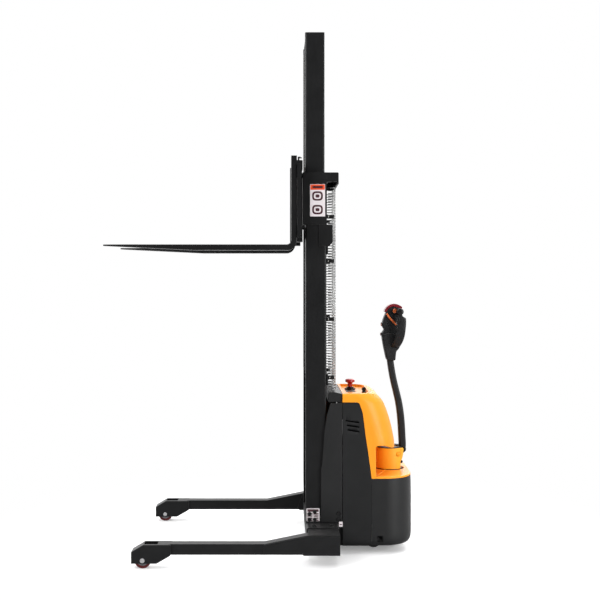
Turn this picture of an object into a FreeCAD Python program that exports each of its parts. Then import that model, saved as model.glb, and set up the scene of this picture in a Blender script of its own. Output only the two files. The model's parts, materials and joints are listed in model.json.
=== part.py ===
"""Walkie straddle stacker: powered pedestrian truck with straddle legs, a two-stage mast
and a side-hung fork carriage.

Millimetres. +Z up, the forks point to -X (front), the tiller is at +X (rear), and the floor
is z = 0. Left is -Y: the operator stands at +X and faces the forks. All x values below are
shifted by X_SHIFT on saving, which puts the origin at the middle of the overall footprint.
The forks are modelled part-raised.
"""

import FreeCAD
import Part
import math
import os
from FreeCAD import Vector

os.makedirs("parts", exist_ok=True)

# ---------------------------------------------------------------- driving dimensions
# X0/X1 are front/rear, Z0/Z1 bottom/top; OUT and IN or TIP are distances from y = 0.
X_SHIFT = 127.0
SIDES = (-1, 1)                         # left, right
X_AXIS, Y_AXIS, Z_AXIS = Vector(1, 0, 0), Vector(0, 1, 0), Vector(0, 0, 1)

# base beam and chassis
BEAM_X0, BEAM_X1, BEAM_Z0, BEAM_Z1 = 161.0, 359.0, 74.0, 193.0
BEAM_T, BEAM_HALF = 6.0, 436.0
BEAM_BOLT_X, BEAM_BOLT_Y = (205.0, 315.0), 400.0
CHEEK_IN, CHEEK_OUT = 300.0, 312.0
DECK_Z0, DECK_Z1 = 418.0, 430.0

# straddle legs and load wheels
LEG_OUT, LEG_IN = 630.0, 530.0
LEG_TUBE_OUT, LEG_TUBE_IN = 615.0, 545.0
LEG_Y = (LEG_OUT + LEG_IN) / 2
LOAD_X, LOAD_R, LOAD_W = -805.0, 50.0, 70.0

# mast channels
OUTER_X0, OUTER_X1, OUTER_OUT, OUTER_TIP = 158.0, 287.0, 300.0, 256.0
OUTER_TOP = 2354.0
TIE_X1 = OUTER_X1 + 10                  # rear face of the ties
LOW_TIE_Z0, LOW_TIE_Z1 = 1040.0, 1110.0
MID_TIE_TOP = 2032.0
INNER_X0, INNER_X1, INNER_OUT, INNER_TIP = 156.0, 278.0, 252.0, 207.0
INNER_BOTTOM, INNER_TOP = 1108.0, 3232.0
INNER_ROLLER_X, INNER_ROLLER_Z = 222.5, 1172.0
ROLLER_PIN_R = 15.0

# lift cylinders, chain pulleys and chains
CYL_X, CYL_Y, CYL_R = 236.0, 140.0, 30.0
BARREL_TOP, ROD_BORE_R = 1890.0, 17.55
FEED_Z = 226.0                          # oil feed at the cylinder feet
PULLEY_X, PULLEY_Z, PULLEY_Y, PULLEY_R = 205.0, 3165.0, 70.0, 45.0
CHAIN_X0, CHAIN_X1 = PULLEY_X - PULLEY_R, PULLEY_X + PULLEY_R
STUD_HOLE_R = 6.2

# carriage and forks
BAR_X0, BAR_X1, BAR_HALF = 104.0, 134.0, 400.0
CARRIAGE_ROLLER_X, CARRIAGE_ROLLER_Z = 217.0, (2080.0, 2362.0)
FORK_LEN, FORK_W, FORK_T = 1150.0, 110.0, 35.0
FORK_TOP = 1907.0                       # upper face of the blades
FORK_Y = 333.0
SHANK_X, SHANK_TOP = 68.0, 2448.0       # front face and top of the shanks
LIP_X0, LIP_X1 = 126.0, 138.0           # hook lips, in a rebate along the back of each bar
LATCH_X, NOTCH_PITCH = 114.0, 35.0

# body
BODY_X0, WALL = 385.0, 4.0
SEAM_X = 564.0                          # seam between side and rear covers
SHELF_Z, NICHE_TOP = 475.0, 646.0
NICHE_X, NICHE_R = 586.0, 130.0
ESTOP_X, ESTOP_Y = 459.0, 86.0
KEY_X, KEY_Y = 535.0, -100.0
TRAY_FLOOR = 973.5

# steered drive, tiller and casters
AXIS_X = 706.0                          # steering axis
WHEEL_R, WHEEL_W, TREAD_IN_R = 105.0, 75.0, 64.0
SLEW_R, SLEW_BORE_R = 72.0, 60.05
PIVOT_X, PIVOT_Z, PIVOT_R = 771.0, 575.0, 9.95
CASTER_X, CASTER_Y, CASTER_R, CASTER_W = 563.0, 134.0, 50.0, 36.0
CASTER_TRAIL = 28.0


# ---------------------------------------------------------------- helpers
def box(x0, x1, y0, y1, z0, z1):
    corner = Vector(min(x0, x1), min(y0, y1), min(z0, z1))
    return Part.makeBox(abs(x1 - x0), abs(y1 - y0), abs(z1 - z0), corner)


def cyl_x(r, y, z, x0, x1):
    return Part.makeCylinder(r, abs(x1 - x0), Vector(min(x0, x1), y, z), X_AXIS)


def cyl_y(r, x, z, y0, y1):
    return Part.makeCylinder(r, abs(y1 - y0), Vector(x, min(y0, y1), z), Y_AXIS)


def cyl_z(r, x, y, z0, z1):
    return Part.makeCylinder(r, abs(z1 - z0), Vector(x, y, min(z0, z1)), Z_AXIS)


def tube_y(r_out, r_in, x, z, y0, y1):
    return cyl_y(r_out, x, z, y0, y1).cut(cyl_y(r_in, x, z, y0, y1))


def tube_z(r_out, r_in, x, y, z0, z1):
    return cyl_z(r_out, x, y, z0, z1).cut(cyl_z(r_in, x, y, z0, z1))


def extruded(points, direction):
    return Part.Face(Part.makePolygon(points + [points[0]])).extrude(direction)


def prism_xz(points, y0, y1):
    return extruded([Vector(x, min(y0, y1), z) for x, z in points], Vector(0, abs(y1 - y0), 0))


def prism_xy(points, z0, z1):
    return extruded([Vector(x, y, z0) for x, y in points], Vector(0, 0, z1 - z0))


def prism_yz(points, x0, x1):
    return extruded([Vector(x0, y, z) for y, z in points], Vector(x1 - x0, 0, 0))


def polar(u, v, r, degrees):
    angle = math.radians(degrees)
    return u + r * math.cos(angle), v + r * math.sin(angle)


def hexagon(u, v, r, start=0):
    return [polar(u, v, r, 60 * i + start) for i in range(6)]


def fuse(first, *others):
    """Fuse one by one, then merge coplanar faces."""
    for other in others:
        first = first.fuse(other)
    return first.removeSplitter()


def fuse_all(shapes):
    """Fuse in one operation, then merge coplanar faces."""
    return shapes[0].fuse(shapes[1:]).removeSplitter()


def mirrored(shape):
    return shape.mirror(Vector(0, 0, 0), Y_AXIS)


def pair(shape):
    return [shape, mirrored(shape)]


def largest(shape):
    return max(shape.Solids, key=lambda solid: solid.Volume)


def fillet(shape, r, pick):
    edges = [e for e in shape.Edges if pick(e)]
    if not edges:
        return shape
    # Guards against a radius the kernel cannot build: the edges then stay sharp.
    try:
        rounded = shape.makeFillet(r, edges)
        return rounded if rounded.isValid() else shape
    except Exception:
        return shape


def every_edge(edge):
    return True


def mid(edge):
    return edge.CenterOfMass


def along(axis):
    """Selector for straight edges parallel to axis."""
    def pick(edge):
        if len(edge.Vertexes) != 2:
            return False
        d = edge.Vertexes[1].Point - edge.Vertexes[0].Point
        if d.Length < 1e-6 or not isinstance(edge.Curve, (Part.Line, Part.LineSegment)):
            return False
        d.normalize()
        return abs(abs(d.dot(axis)) - 1) < 1e-6
    return pick


def on_side(half_width, min_length=0.0):
    """Selector for edges longer than min_length, centred on y = +-half_width."""
    return lambda e: abs(abs(mid(e).y) - half_width) < 0.5 and e.Length > min_length


def line(a, b):
    return Part.LineSegment(a, b).toShape()


def arc(a, b, c):
    return Part.Arc(a, b, c).toShape()


def rounded_section(x0, x1, half, front_r, rear_r, z):
    """Rounded plan section, symmetric about y = 0."""
    corners = [(x1 - rear_r, -half + rear_r, rear_r, -90), (x1 - rear_r, half - rear_r, rear_r, 0),
               (x0 + front_r, half - front_r, front_r, 90),
               (x0 + front_r, -half + front_r, front_r, 180)]
    arcs = [[Vector(*polar(x, y, r, start + turn), z) for turn in (0, 45, 90)]
            for x, y, r, start in corners]
    edges = []
    for i, points in enumerate(arcs):
        edges += [arc(*points), line(points[2], arcs[(i + 1) % 4][0])]
    return Part.Wire(edges)


def rounded_block(x0, x1, half, front_r, rear_r, z, height):
    section = rounded_section(x0, x1, half, front_r, rear_r, z)
    return Part.Face(section).extrude(Vector(0, 0, height))


def headed_pin(x, z, y0, y1, head_r=13):
    """Pin from y0 up to y1 with a head at each end; head_r is the head at y0."""
    return fuse(cyl_y(PIVOT_R, x, z, y0, y1), cyl_y(head_r, x, z, y0 - 3, y0),
                cyl_y(13, x, z, y1, y1 + 3))


def save(name, *shapes):
    solids = [solid.translated(Vector(X_SHIFT, 0, 0)) for s in shapes for solid in s.Solids]
    piece = Part.makeCompound(solids) if len(solids) > 1 else solids[0]
    piece.exportStep(f"parts/{name}.step")


def save_pair(name, left):
    save(f"{name}_left", left)
    save(f"{name}_right", mirrored(left))


# ---------------------------------------------------------------- chassis frame
def chassis_frame():
    beam = fillet(box(BEAM_X0, BEAM_X1, -BEAM_HALF, BEAM_HALF, BEAM_Z0, BEAM_Z1),
                  10, along(Y_AXIS))
    frame = beam.cut(box(BEAM_X0 + BEAM_T, BEAM_X1 - BEAM_T, -BEAM_HALF - 1, BEAM_HALF + 1,
                         BEAM_Z0 + BEAM_T, BEAM_Z1 - BEAM_T))
    cheek = prism_xz([(161, 190), (161, 255), (185, 285), (330, 285), (384, 325), (384, 190)],
                     -CHEEK_OUT, -CHEEK_IN)
    plate_z = BEAM_Z1 - BEAM_T
    top_plate = fuse(box(161, 384, -CHEEK_OUT, CHEEK_OUT, plate_z, BEAM_Z1),
                     box(384, 398, -288, 288, plate_z, BEAM_Z1))
    bulkhead = box(390, 398, -288, 288, 150, DECK_Z1)
    half_deck = [(393, 230), (610, 230), (775, 140), (808, 70)]
    deck = prism_xy([(x, -y) for x, y in half_deck] + half_deck[::-1], DECK_Z0, DECK_Z1)
    skirt = prism_xz([(394, 150), (470, 150), (520, 300), (600, 360), (600, 425), (394, 425)],
                     -300, -291)
    sill = box(358, 389, -283, -278, 47, 190)
    cross_rib = box(393, 470, -292, 292, 150, 158)
    deck_wing = box(393, 600, -292, -230, DECK_Z0, DECK_Z1)
    frame = frame.fuse([*pair(cheek), top_plate, bulkhead, deck, *pair(skirt), *pair(sill),
                        cross_rib, *pair(deck_wing)])
    # caster stands under the deck: foot, front wall and outer wall
    x0, x1 = CASTER_X - 40, CASTER_X + 40
    for side in SIDES:
        y = side * CASTER_Y
        frame = frame.fuse(box(x0, x1, y - 40, y + 40, 150, 158))
        frame = frame.fuse(box(x0, x0 + 6, y - 40, y + 40, 158, DECK_Z0))
        frame = frame.fuse(box(x0, x1, y + side * 34, y + side * 40, 158, DECK_Z0))
    frame = frame.removeSplitter()
    frame = frame.cut(cyl_z(SLEW_R, AXIS_X, 0, DECK_Z0 - 1, DECK_Z1 + 1))
    for side in SIDES:
        frame = frame.cut(cyl_z(10.05, CASTER_X, side * CASTER_Y, 149, 159))
        for x in BEAM_BOLT_X:
            frame = frame.cut(cyl_z(8.2, x, side * BEAM_BOLT_Y, plate_z - 1, BEAM_Z1 + 1))
    return frame


def beam_bolt(x, y):
    """Bolt down into the beam top, with a washer."""
    seat = BEAM_Z1 + 3
    head = prism_xy(hexagon(x, y, 13.5), seat, seat + 10)
    bolt = head.fuse(cyl_z(8, x, y, seat - 9.3, seat))
    return bolt.fuse(cyl_z(15, x, y, BEAM_Z1, seat)).removeSplitter()


def cheek_bolt(side, x, z):
    """Bolt head and washer on the outside of a cheek."""
    seat = CHEEK_OUT + 2.5
    head = prism_xz(hexagon(x, z, 9.5, 30), side * seat, side * (seat + 6.5))
    return head.fuse(cyl_y(12, x, z, side * CHEEK_OUT, side * seat)).removeSplitter()


REAR_CHEEK_BOLTS = [(360, 215), (360, 250)]      # (x, z)
CHEEK_BOLTS = [(182, 215), (182, 250), (214, 215), (214, 262)] + REAR_CHEEK_BOLTS

save("chassis_frame", chassis_frame())
save("frame_bolts",
     *[beam_bolt(x, side * BEAM_BOLT_Y) for side in SIDES for x in BEAM_BOLT_X],
     *[cheek_bolt(side, x, z) for side in SIDES for x, z in CHEEK_BOLTS])


# ---------------------------------------------------------------- straddle legs
# Side outlines, (x, z)
LEG_TUBE = [(-655, 80), (-655, 143), (-90, 143), (160, 193), (353, 193), (353, 74), (140, 74),
            (132, 80)]
LEG_TUBE_BORE = [(-640, 86), (-640, 137), (-91, 137), (159, 187), (354, 187), (354, 80),
                 (150, 80), (140, 86)]
LEG_OUTER_SKIN = [(-95, 84), (-95, 139), (158, 187), (349, 187), (349, 78), (140, 78), (130, 84)]
LEG_INNER_SKIN = [(120, 86), (158, 186), (349, 186), (349, 78), (140, 78)]
LEG_HEAD = [(-871, 32), (-871, 100), (-800, 142), (-648, 142), (-640, 140), (-640, 80),
            (-655, 70), (-722, 32)]
LEG_HEAD_CAVITY = [(-863, 20), (-863, 97), (-798, 134), (-700, 134), (-690, 90), (-690, 20)]


def straddle_leg():
    tube = prism_xz(LEG_TUBE, -LEG_TUBE_OUT, -LEG_TUBE_IN)
    tube = fillet(tube, 7, lambda e: along(X_AXIS)(e)
                  or (abs(mid(e).x - 35) < 1 and abs(mid(e).z - 168) < 1))
    bore = prism_xz(LEG_TUBE_BORE, -LEG_TUBE_OUT + 6, -LEG_TUBE_IN - 6)
    outer_skin = prism_xz(LEG_OUTER_SKIN, -LEG_TUBE_OUT - 6, -LEG_TUBE_OUT)
    inner_skin = prism_xz(LEG_INNER_SKIN, -LEG_TUBE_IN, -LEG_TUBE_IN + 6)
    head = prism_xz(LEG_HEAD, -LEG_OUT, -LEG_IN)
    head = fillet(head, 6, lambda e: (on_side(LEG_OUT)(e) or on_side(LEG_IN)(e))
                  and mid(e).z > 99 and mid(e).x < -660)
    cavity = prism_xz(LEG_HEAD_CAVITY, -618, -542)
    slot = fillet(box(-798, -718, -612, -548, 120, 150), 5, along(Z_AXIS))
    # square stub that slides in the base beam
    stub = box(167.6, 352.4, -LEG_TUBE_IN, -300, 80.6, 186.4)
    stub_bore = box(176, 344, -LEG_TUBE_IN - 1, -299, 89, 178)
    leg = tube.fuse([head, outer_skin, inner_skin]).cut(bore)
    leg = leg.fuse(stub.cut(stub_bore))
    leg = leg.removeSplitter()
    leg = leg.cut(cavity).cut(slot)
    return leg.cut(cyl_y(10.0, LOAD_X, LOAD_R, -640, -520))


def load_wheel_hub():
    y0, y1 = -LOAD_W / 2 - LEG_Y, LOAD_W / 2 - LEG_Y
    hub = cyl_y(34, LOAD_X, LOAD_R, y0, y1).cut(cyl_y(10.0, LOAD_X, LOAD_R, -640, -520))
    hub = hub.cut(tube_y(26, 16, LOAD_X, LOAD_R, y0 - 1, y0 + 4))
    return hub.cut(tube_y(26, 16, LOAD_X, LOAD_R, y1 - 4, y1 + 1))


def load_wheel_tyre():
    half = LOAD_W / 2 - 0.5
    tyre = fillet(cyl_y(LOAD_R, LOAD_X, LOAD_R, -half - LEG_Y, half - LEG_Y), 5, every_edge)
    return tyre.cut(cyl_y(34, LOAD_X, LOAD_R, -640, -520))


save_pair("straddle_leg", straddle_leg())
save_pair("load_axle", headed_pin(LOAD_X, LOAD_R, -LEG_OUT, -LEG_IN, head_r=14))
save_pair("load_wheel_hub", load_wheel_hub())
save_pair("load_wheel_tyre", load_wheel_tyre())


# ---------------------------------------------------------------- outer mast
def channel(x0, x1, out, tip, flange, z0, z1):
    """Left mast rail, open towards y = 0, with a 10 mm web and rounded outer corners."""
    rail = box(x0, x1, -out, -tip, z0, z1)
    rail = fillet(rail, 12, lambda e: along(Z_AXIS)(e) and abs(mid(e).y + out) < 0.5)
    return rail.cut(box(x0 + flange, x1 - flange, -out + 10, -tip + 1, z0 - 1, z1 + 1))


def outer_tie(z0, z1):
    return box(OUTER_X1, TIE_X1, -OUTER_OUT, OUTER_OUT, z0, z1)


def outer_mast():
    rail = channel(OUTER_X0, OUTER_X1, OUTER_OUT, OUTER_TIP, 12, BEAM_Z1, OUTER_TOP)
    foot_tie = outer_tie(205, 330).cut(cyl_x(7, 0, FEED_Z, OUTER_X1 - 1, TIE_X1 + 1))
    # plates wrapping the rails at the middle tie
    wrap = prism_xz([(240, 1905), (240, MID_TIE_TOP), (325, MID_TIE_TOP), (325, 1925),
                     (305, 1900), (245, 1900)], -306, -OUTER_OUT)
    wrap_rear = box(319, 325, -306, -253.5, 1925, MID_TIE_TOP)
    # top crosshead: a box beam carried behind the rails, with a lip at its rear
    crosshead = box(OUTER_X1, 362, -306, 306, 2296, OUTER_TOP)
    crosshead = fillet(crosshead, 8, lambda e: along(Y_AXIS)(e) and mid(e).x > 361)
    crosshead = crosshead.cut(box(TIE_X1, 352, -290, 290, 2290, OUTER_TOP - 10))
    lip = box(352, 362, -306, 306, 2283, 2300)
    # top collars: side plate, front keeper for the pads, bottom and top webs
    collar = fuse(box(139, 289, -308, -OUTER_OUT, MID_TIE_TOP, OUTER_TOP),
                  box(139, 149, -308, -208, MID_TIE_TOP, OUTER_TOP),
                  box(139, OUTER_X0, -308, -OUTER_TIP, MID_TIE_TOP, MID_TIE_TOP + 12),
                  box(139, OUTER_X0, -308, -OUTER_TIP, OUTER_TOP - 12, OUTER_TOP))
    collar = fillet(collar, 5, lambda e: along(Z_AXIS)(e) and abs(mid(e).x - 139) < 0.5
                    and abs(mid(e).y + 308) < 0.5)
    mast = fuse_all([*pair(rail), foot_tie, outer_tie(LOW_TIE_Z0, LOW_TIE_Z1),
                     outer_tie(1850, MID_TIE_TOP), *pair(wrap), *pair(wrap_rear),
                     crosshead, lip, *pair(collar)])
    # braces clamp the cylinder tops to the middle tie
    for side in SIDES:
        y = side * CYL_Y
        brace = box(CYL_X, OUTER_X1, y - 38, y + 38, 1852, 1884)
        mast = mast.fuse(brace.cut(cyl_z(CYL_R, CYL_X, y, 1850, 1890)))
    return mast.removeSplitter()


def mast_pads():
    """Pads at the top left of the outer mast: two front, one rear, one side."""
    return [box(149, 155.6, -248, -211, 2050, 2150), box(149, 155.6, -248, -211, 2240, 2340),
            box(278.4, OUTER_X1, -248, -211, 2300, 2350), box(170, 264, -255.8, -252.3, 2250, 2350)]


save("outer_mast", outer_mast())
save("mast_wear_pads", *mast_pads(), *[mirrored(pad) for pad in mast_pads()])


# ---------------------------------------------------------------- lift cylinders
def cylinder_barrel(side):
    y = side * CYL_Y
    rod_bore = cyl_z(ROD_BORE_R, CYL_X, y, 1850, BARREL_TOP + 1)
    barrel = cyl_z(CYL_R, CYL_X, y, BEAM_Z1, BARREL_TOP)
    barrel = barrel.cut(cyl_z(25, CYL_X, y, 213, 1862)).cut(rod_bore)
    barrel = barrel.fuse(cyl_z(33, CYL_X, y, 1886, BARREL_TOP)).cut(rod_bore)
    # feed port
    barrel = barrel.fuse(cyl_y(11, CYL_X, FEED_Z, side * 96, side * 114))
    barrel = barrel.cut(cyl_y(4, CYL_X, FEED_Z, side * 90, side * 120))
    # chain anchor arm, clamped round the barrel
    arm = box(222, 262, side * 52, side * 112, 1738, 1750)
    arm = arm.cut(cyl_z(STUD_HOLE_R, CHAIN_X1, side * PULLEY_Y, 1730, 1760))
    clamp = tube_z(34.5, CYL_R, CYL_X, y, 1726, 1762)
    return barrel.fuse([arm, clamp]).removeSplitter()


def piston_rod(side):
    rod = cyl_z(17.5, CYL_X, side * CYL_Y, 1150, 3176)
    return rod.fuse(cyl_z(24.9, CYL_X, side * CYL_Y, 1150, 1190)).removeSplitter()


save("lift_cylinder_barrels", *[cylinder_barrel(side) for side in SIDES])
save("lift_piston_rods", *[piston_rod(side) for side in SIDES])


# ---------------------------------------------------------------- inner mast, pulleys, rollers
PULLEY_CHEEK = [(182, 3146), (182, 3184), (200, 3222), (266, 3222), (266, 3130), (228, 3130)]


def inner_mast():
    rail = channel(INNER_X0, INNER_X1, INNER_OUT, INNER_TIP, 11, INNER_BOTTOM, INNER_TOP)
    parts = pair(rail)
    parts.append(box(266, INNER_X1, -INNER_TIP, INNER_TIP, 3100, INNER_TOP))    # top tie
    parts.append(box(160, 266, -INNER_TIP, INNER_TIP, 3222, INNER_TOP))         # top plate
    parts.append(box(271, INNER_X1, -INNER_TIP, INNER_TIP, 1152, 1222))         # bottom tie
    for side in SIDES:
        # plate on the piston rod, two pulley cheeks and the roller pin
        parts.append(box(200, 266, side * 106, side * INNER_TIP, 3176, 3190))
        for y0, y1 in ((46, 52), (88, 94)):
            parts.append(prism_xz(PULLEY_CHEEK, side * y0, side * y1))
        parts.append(cyl_y(ROLLER_PIN_R, INNER_ROLLER_X, INNER_ROLLER_Z,
                           side * INNER_OUT, side * 287.0))
    mast = fuse_all(parts)
    for side in SIDES:
        mast = mast.cut(cyl_y(PIVOT_R, PULLEY_X, PULLEY_Z, side * 40, side * 100))
    return mast


def pulley_axle(side):
    return headed_pin(PULLEY_X, PULLEY_Z, *sorted((side * 46, side * 94)))


def chain_pulley(side):
    def disc(r, y0, y1, x=PULLEY_X, z=PULLEY_Z):
        return cyl_y(r, x, z, side * y0, side * y1)

    pulley = fuse(disc(52, 57, 60.5), disc(38.5, 60.5, 79.5), disc(52, 79.5, 83))
    pulley = pulley.cut(disc(10.0, 40, 100))
    for k in range(5):
        pulley = pulley.cut(disc(6, 50, 90, *polar(PULLEY_X, PULLEY_Z, 24, 72 * k)))
    return pulley


def roller(x, z, r, y0, y1):
    """Bored roller with a shallow ring groove in each face."""
    body = fillet(cyl_y(r, x, z, y0, y1), 3, every_edge)
    body = body.cut(cyl_y(ROLLER_PIN_R + 0.05, x, z, -400, 400))
    body = body.cut(tube_y(r - 9, r - 18, x, z, y1 - 1.6, y1 + 1))
    return body.cut(tube_y(r - 9, r - 18, x, z, y0 - 1, y0 + 1.6))


save("inner_mast", inner_mast(), *[pulley_axle(side) for side in SIDES])
save("chain_pulleys", *[chain_pulley(side) for side in SIDES])
save("mast_rollers", *pair(roller(INNER_ROLLER_X, INNER_ROLLER_Z, 52.0, -286, -260)))


# ---------------------------------------------------------------- lift chains
def lift_chain(side, x, chain_z, anchor_z, stud_z0, stud_z1, nut_z):
    """One run from chain_z up to the pulley, with anchor block, stud and nut below."""
    y = side * PULLEY_Y
    chain = box(x - 6, x + 6, y - 9, y + 9, chain_z, PULLEY_Z)
    chain = chain.fuse(box(x - 8, x + 8, y - 11, y + 11, anchor_z, chain_z + 4))
    chain = chain.fuse(cyl_z(6, x, y, stud_z0, stud_z1))
    chain = chain.fuse(prism_xy(hexagon(x, y, 10), nut_z, nut_z + 10))
    return chain.removeSplitter()


save("lift_chain_front",
     *[lift_chain(side, CHAIN_X0, 2196, 2177, 2130, 2180, 2140) for side in SIDES])
save("lift_chain_rear",
     *[lift_chain(side, CHAIN_X1, 1774, 1754, 1706, 1756, 1722) for side in SIDES])


# ---------------------------------------------------------------- carriage
CARRIAGE_SIDE = [(134, 2036), (134, 2348), (160, 2356), (160, 2414), (262, 2414), (268, 2400),
                 (268, 2026), (160, 2020), (160, 2036)]      # (x, z)


def fork_carriage():
    upper_bar = box(BAR_X0, BAR_X1, -BAR_HALF, BAR_HALF, 2323, 2398)
    lower_bar = box(BAR_X0, BAR_X1, -BAR_HALF, BAR_HALF, 1948, 2022)
    side_plate = prism_xz(CARRIAGE_SIDE, -201, -187)
    end_strut = prism_xz([(108, 2012), (108, 2330), (130, 2330), (130, 2012)], -BAR_HALF, -388)
    inner_strut = box(108, 134, -201, -187, 2016, 2330)
    parts = [upper_bar, lower_bar, *pair(side_plate), *pair(end_strut), *pair(inner_strut)]
    parts.append(box(134, 174, -187, 187, 2154, 2170))      # chain anchor shelf
    parts.append(box(134, 142, -187, 187, 2328, 2392))      # upper cross plate
    parts.append(box(134, 142, -187, 187, 1960, 2018))      # lower cross plate
    for side in SIDES:
        for z in CARRIAGE_ROLLER_Z:
            parts.append(cyl_y(ROLLER_PIN_R, CARRIAGE_ROLLER_X, z, side * 201, side * 239))
    carriage = fuse_all(parts)
    for side in SIDES:
        carriage = carriage.cut(cyl_z(STUD_HOLE_R, CHAIN_X0, side * PULLEY_Y, 2150, 2175))
    # rebates for the fork lips, over the whole width
    carriage = carriage.cut(box(LIP_X0 - 0.8, 149, -410, 410, 2361, 2405))
    carriage = carriage.cut(box(LIP_X0 - 0.8, 149, -410, 410, 1890, 1970))
    # latch notches along the upper bar
    for k in range(8):
        for side in SIDES:
            y = side * (FORK_Y - NOTCH_PITCH * k)
            carriage = carriage.cut(cyl_z(8, LATCH_X, y, 2386, 2399))
    return carriage


save("fork_carriage", fork_carriage())
for level, roller_z in zip(("lower", "upper"), CARRIAGE_ROLLER_Z):
    save(f"carriage_rollers_{level}", *pair(roller(CARRIAGE_ROLLER_X, roller_z, 49.6, -238, -208)))


# ---------------------------------------------------------------- forks
def fork():
    bottom, tip, back = FORK_TOP - FORK_T, SHANK_X - FORK_LEN, SHANK_X + FORK_T
    y0, y1 = -FORK_Y - FORK_W / 2, -FORK_Y + FORK_W / 2
    inner_r, outer_r = 28, 58.0                     # heel bend

    def at(x, z):
        return Vector(x, y0, z)

    def heel(r, face_x, low_z):
        """Start, middle and end of the bend from the blade up to the shank."""
        x, z = face_x - r, low_z + r
        return at(x, low_z), at(*polar(x, z, r, -45)), at(face_x, z)

    inner, outer = heel(inner_r, SHANK_X, FORK_TOP), heel(outer_r, back, bottom)
    tip_top, tip_low = at(tip, FORK_TOP), at(tip, FORK_TOP - 8)
    top_front, top_back = at(SHANK_X, SHANK_TOP), at(back, SHANK_TOP)
    taper_start = at(-520, bottom)
    outline = Part.Wire([line(tip_top, inner[0]), arc(*inner), line(inner[2], top_front),
                         line(top_front, top_back), line(top_back, outer[2]), arc(*outer[::-1]),
                         line(outer[0], taper_start), line(taper_start, tip_low),
                         line(tip_low, tip_top)])
    body = Part.Face(outline).extrude(Vector(0, FORK_W, 0))
    # plan taper to the tip
    for inward, y in ((1, y0), (-1, y1)):
        tip_y = y + inward * 32
        body = body.cut(prism_xy(
            [(tip - 5, y - inward * 5), (tip + 230, y - inward * 5), (tip + 230, y),
             (tip + 40, y + inward * 20), (tip, tip_y), (tip - 5, tip_y)],
            bottom - 5, FORK_TOP + 5))
    body = fillet(body, 4, lambda e: (along(X_AXIS)(e) and abs(mid(e).z - bottom) < 0.5)
                  or (along(Z_AXIS)(e) and mid(e).z > 2000 and mid(e).x < SHANK_X + 1))
    upper_hook = fuse(box(SHANK_X + 30, LIP_X1, y0, y1, 2398.6, 2420),
                      box(LIP_X0, LIP_X1, y0, y1, 2363, 2420))
    upper_hook = fillet(upper_hook, 6, lambda e: along(Y_AXIS)(e) and mid(e).x > LIP_X1 - 1
                        and mid(e).z > 2418)
    lower_hook = fuse(box(SHANK_X + 30, LIP_X1, y0 + 15, y1 - 15, 1923, 1947.4),
                      box(LIP_X0, LIP_X1, y0 + 15, y1 - 15, 1923, 1968))
    body = body.fuse([upper_hook, lower_hook]).removeSplitter()
    return body.cut(cyl_z(5.2, LATCH_X, -FORK_Y, 2396, 2425))


def fork_latch():
    """Latch pin with knob and tab, modelled raised clear of the bar."""
    return fuse(cyl_z(5.0, LATCH_X, -FORK_Y, 2398.4, 2437),
                fillet(cyl_z(9, 118, -FORK_Y, 2437, 2447), 2, every_edge),
                box(118, 134, -FORK_Y - 5, -FORK_Y + 5, 2437, 2442))


save_pair("fork", fork())
save_pair("fork_latch", fork_latch())

# ---------------------------------------------------------------- mast guard: welded wires
GUARD_X, GUARD_Z0, GUARD_Z1 = 344.0, 1008.0, 2275.0
WIRE_PITCH, WIRE_R = 17.2, 2.0


def guard_u_wire(z):
    """One horizontal wire bent to a U: a rear run and two returns, with mitred corners."""
    points = [Vector(x, y, z) for x, y in ((299, -246), (330, -246), (GUARD_X, -232),
                                           (GUARD_X, 232), (330, 246), (299, 246))]
    profile = Part.Wire(Part.makeCircle(WIRE_R, points[0], X_AXIS))
    # Guards against a failed mitred sweep: only the straight rear run is then built.
    try:
        swept = Part.makePolygon(points).makePipeShell([profile], True, False, 1)
        return swept.Solids[0] if swept.Solids else Part.Solid(swept.Shells[0])
    except Exception:
        return cyl_y(WIRE_R, GUARD_X, z, -232, 232)


def guard_upright(x, y):
    return cyl_z(WIRE_R, x, y, GUARD_Z0 - 6, GUARD_Z1 + 6)


def guard_clip(near_z):
    """Left clip bar centred between two wires, on the rail or, where it meets it, on the tie."""
    gap = round((near_z - GUARD_Z0) / WIRE_PITCH - 0.5) + 0.5
    z = GUARD_Z0 + gap * WIRE_PITCH
    on_tie = LOW_TIE_Z0 <= z <= LOW_TIE_Z1
    foot_x0, foot_x1 = (TIE_X1 + 0.2, 305) if on_tie else (OUTER_X1 + 0.2, 297.5)
    clip = box(297.5, 352.5, -262, -254.5, z - 12, z + 12)
    return clip.fuse([box(foot_x0, foot_x1, -292, -254.5, z - 12, z + 12)]).removeSplitter()


def mast_guard():
    rows = int((GUARD_Z1 - GUARD_Z0) / WIRE_PITCH) + 1
    parts = [guard_u_wire(GUARD_Z0 + k * WIRE_PITCH) for k in range(rows)]
    parts += [guard_upright(GUARD_X + 4.02, -200 + 66.7 * i) for i in range(7)]
    parts += [guard_upright(x, side * 250.05) for side in SIDES for x in (308.0, 326.0)]
    for z in (1088.0, 1448.0, 1808.0, 2150.0):
        parts += pair(guard_clip(z))
    return parts


save("mast_guard", *mast_guard())

# ---------------------------------------------------------------- body covers
# Plan sections of the body: rear x, half width, rear corner radius, z
LOWER_BODY = [
    (803, 288, 150, 45), (814, 306, 165, 54), (826, 318, 175, 78),
    (828, 320, 178, 120), (828, 320, 178, 320), (824, 320, 176, 467),
]
UPPER_BODY = [
    (760, 320, 132, 467), (738, 319, 132, 560), (719, 318, 131, 646), (707, 317, 139, 740),
    (681, 315, 139, 840), (649, 313, 136, 925), (606, 309, 127, 972), (577, 302, 119, 988),
]
# Side cover sections: z, half width
SIDE_HALF_WIDTHS = [(45, 288), (54, 306), (78, 318), (120, 320), (467, 320), (560, 319),
                    (646, 318), (740, 317), (840, 315), (940, 312.6)]
SIDE_BODY = [(790, half, 150, z) for z, half in SIDE_HALF_WIDTHS]
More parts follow.
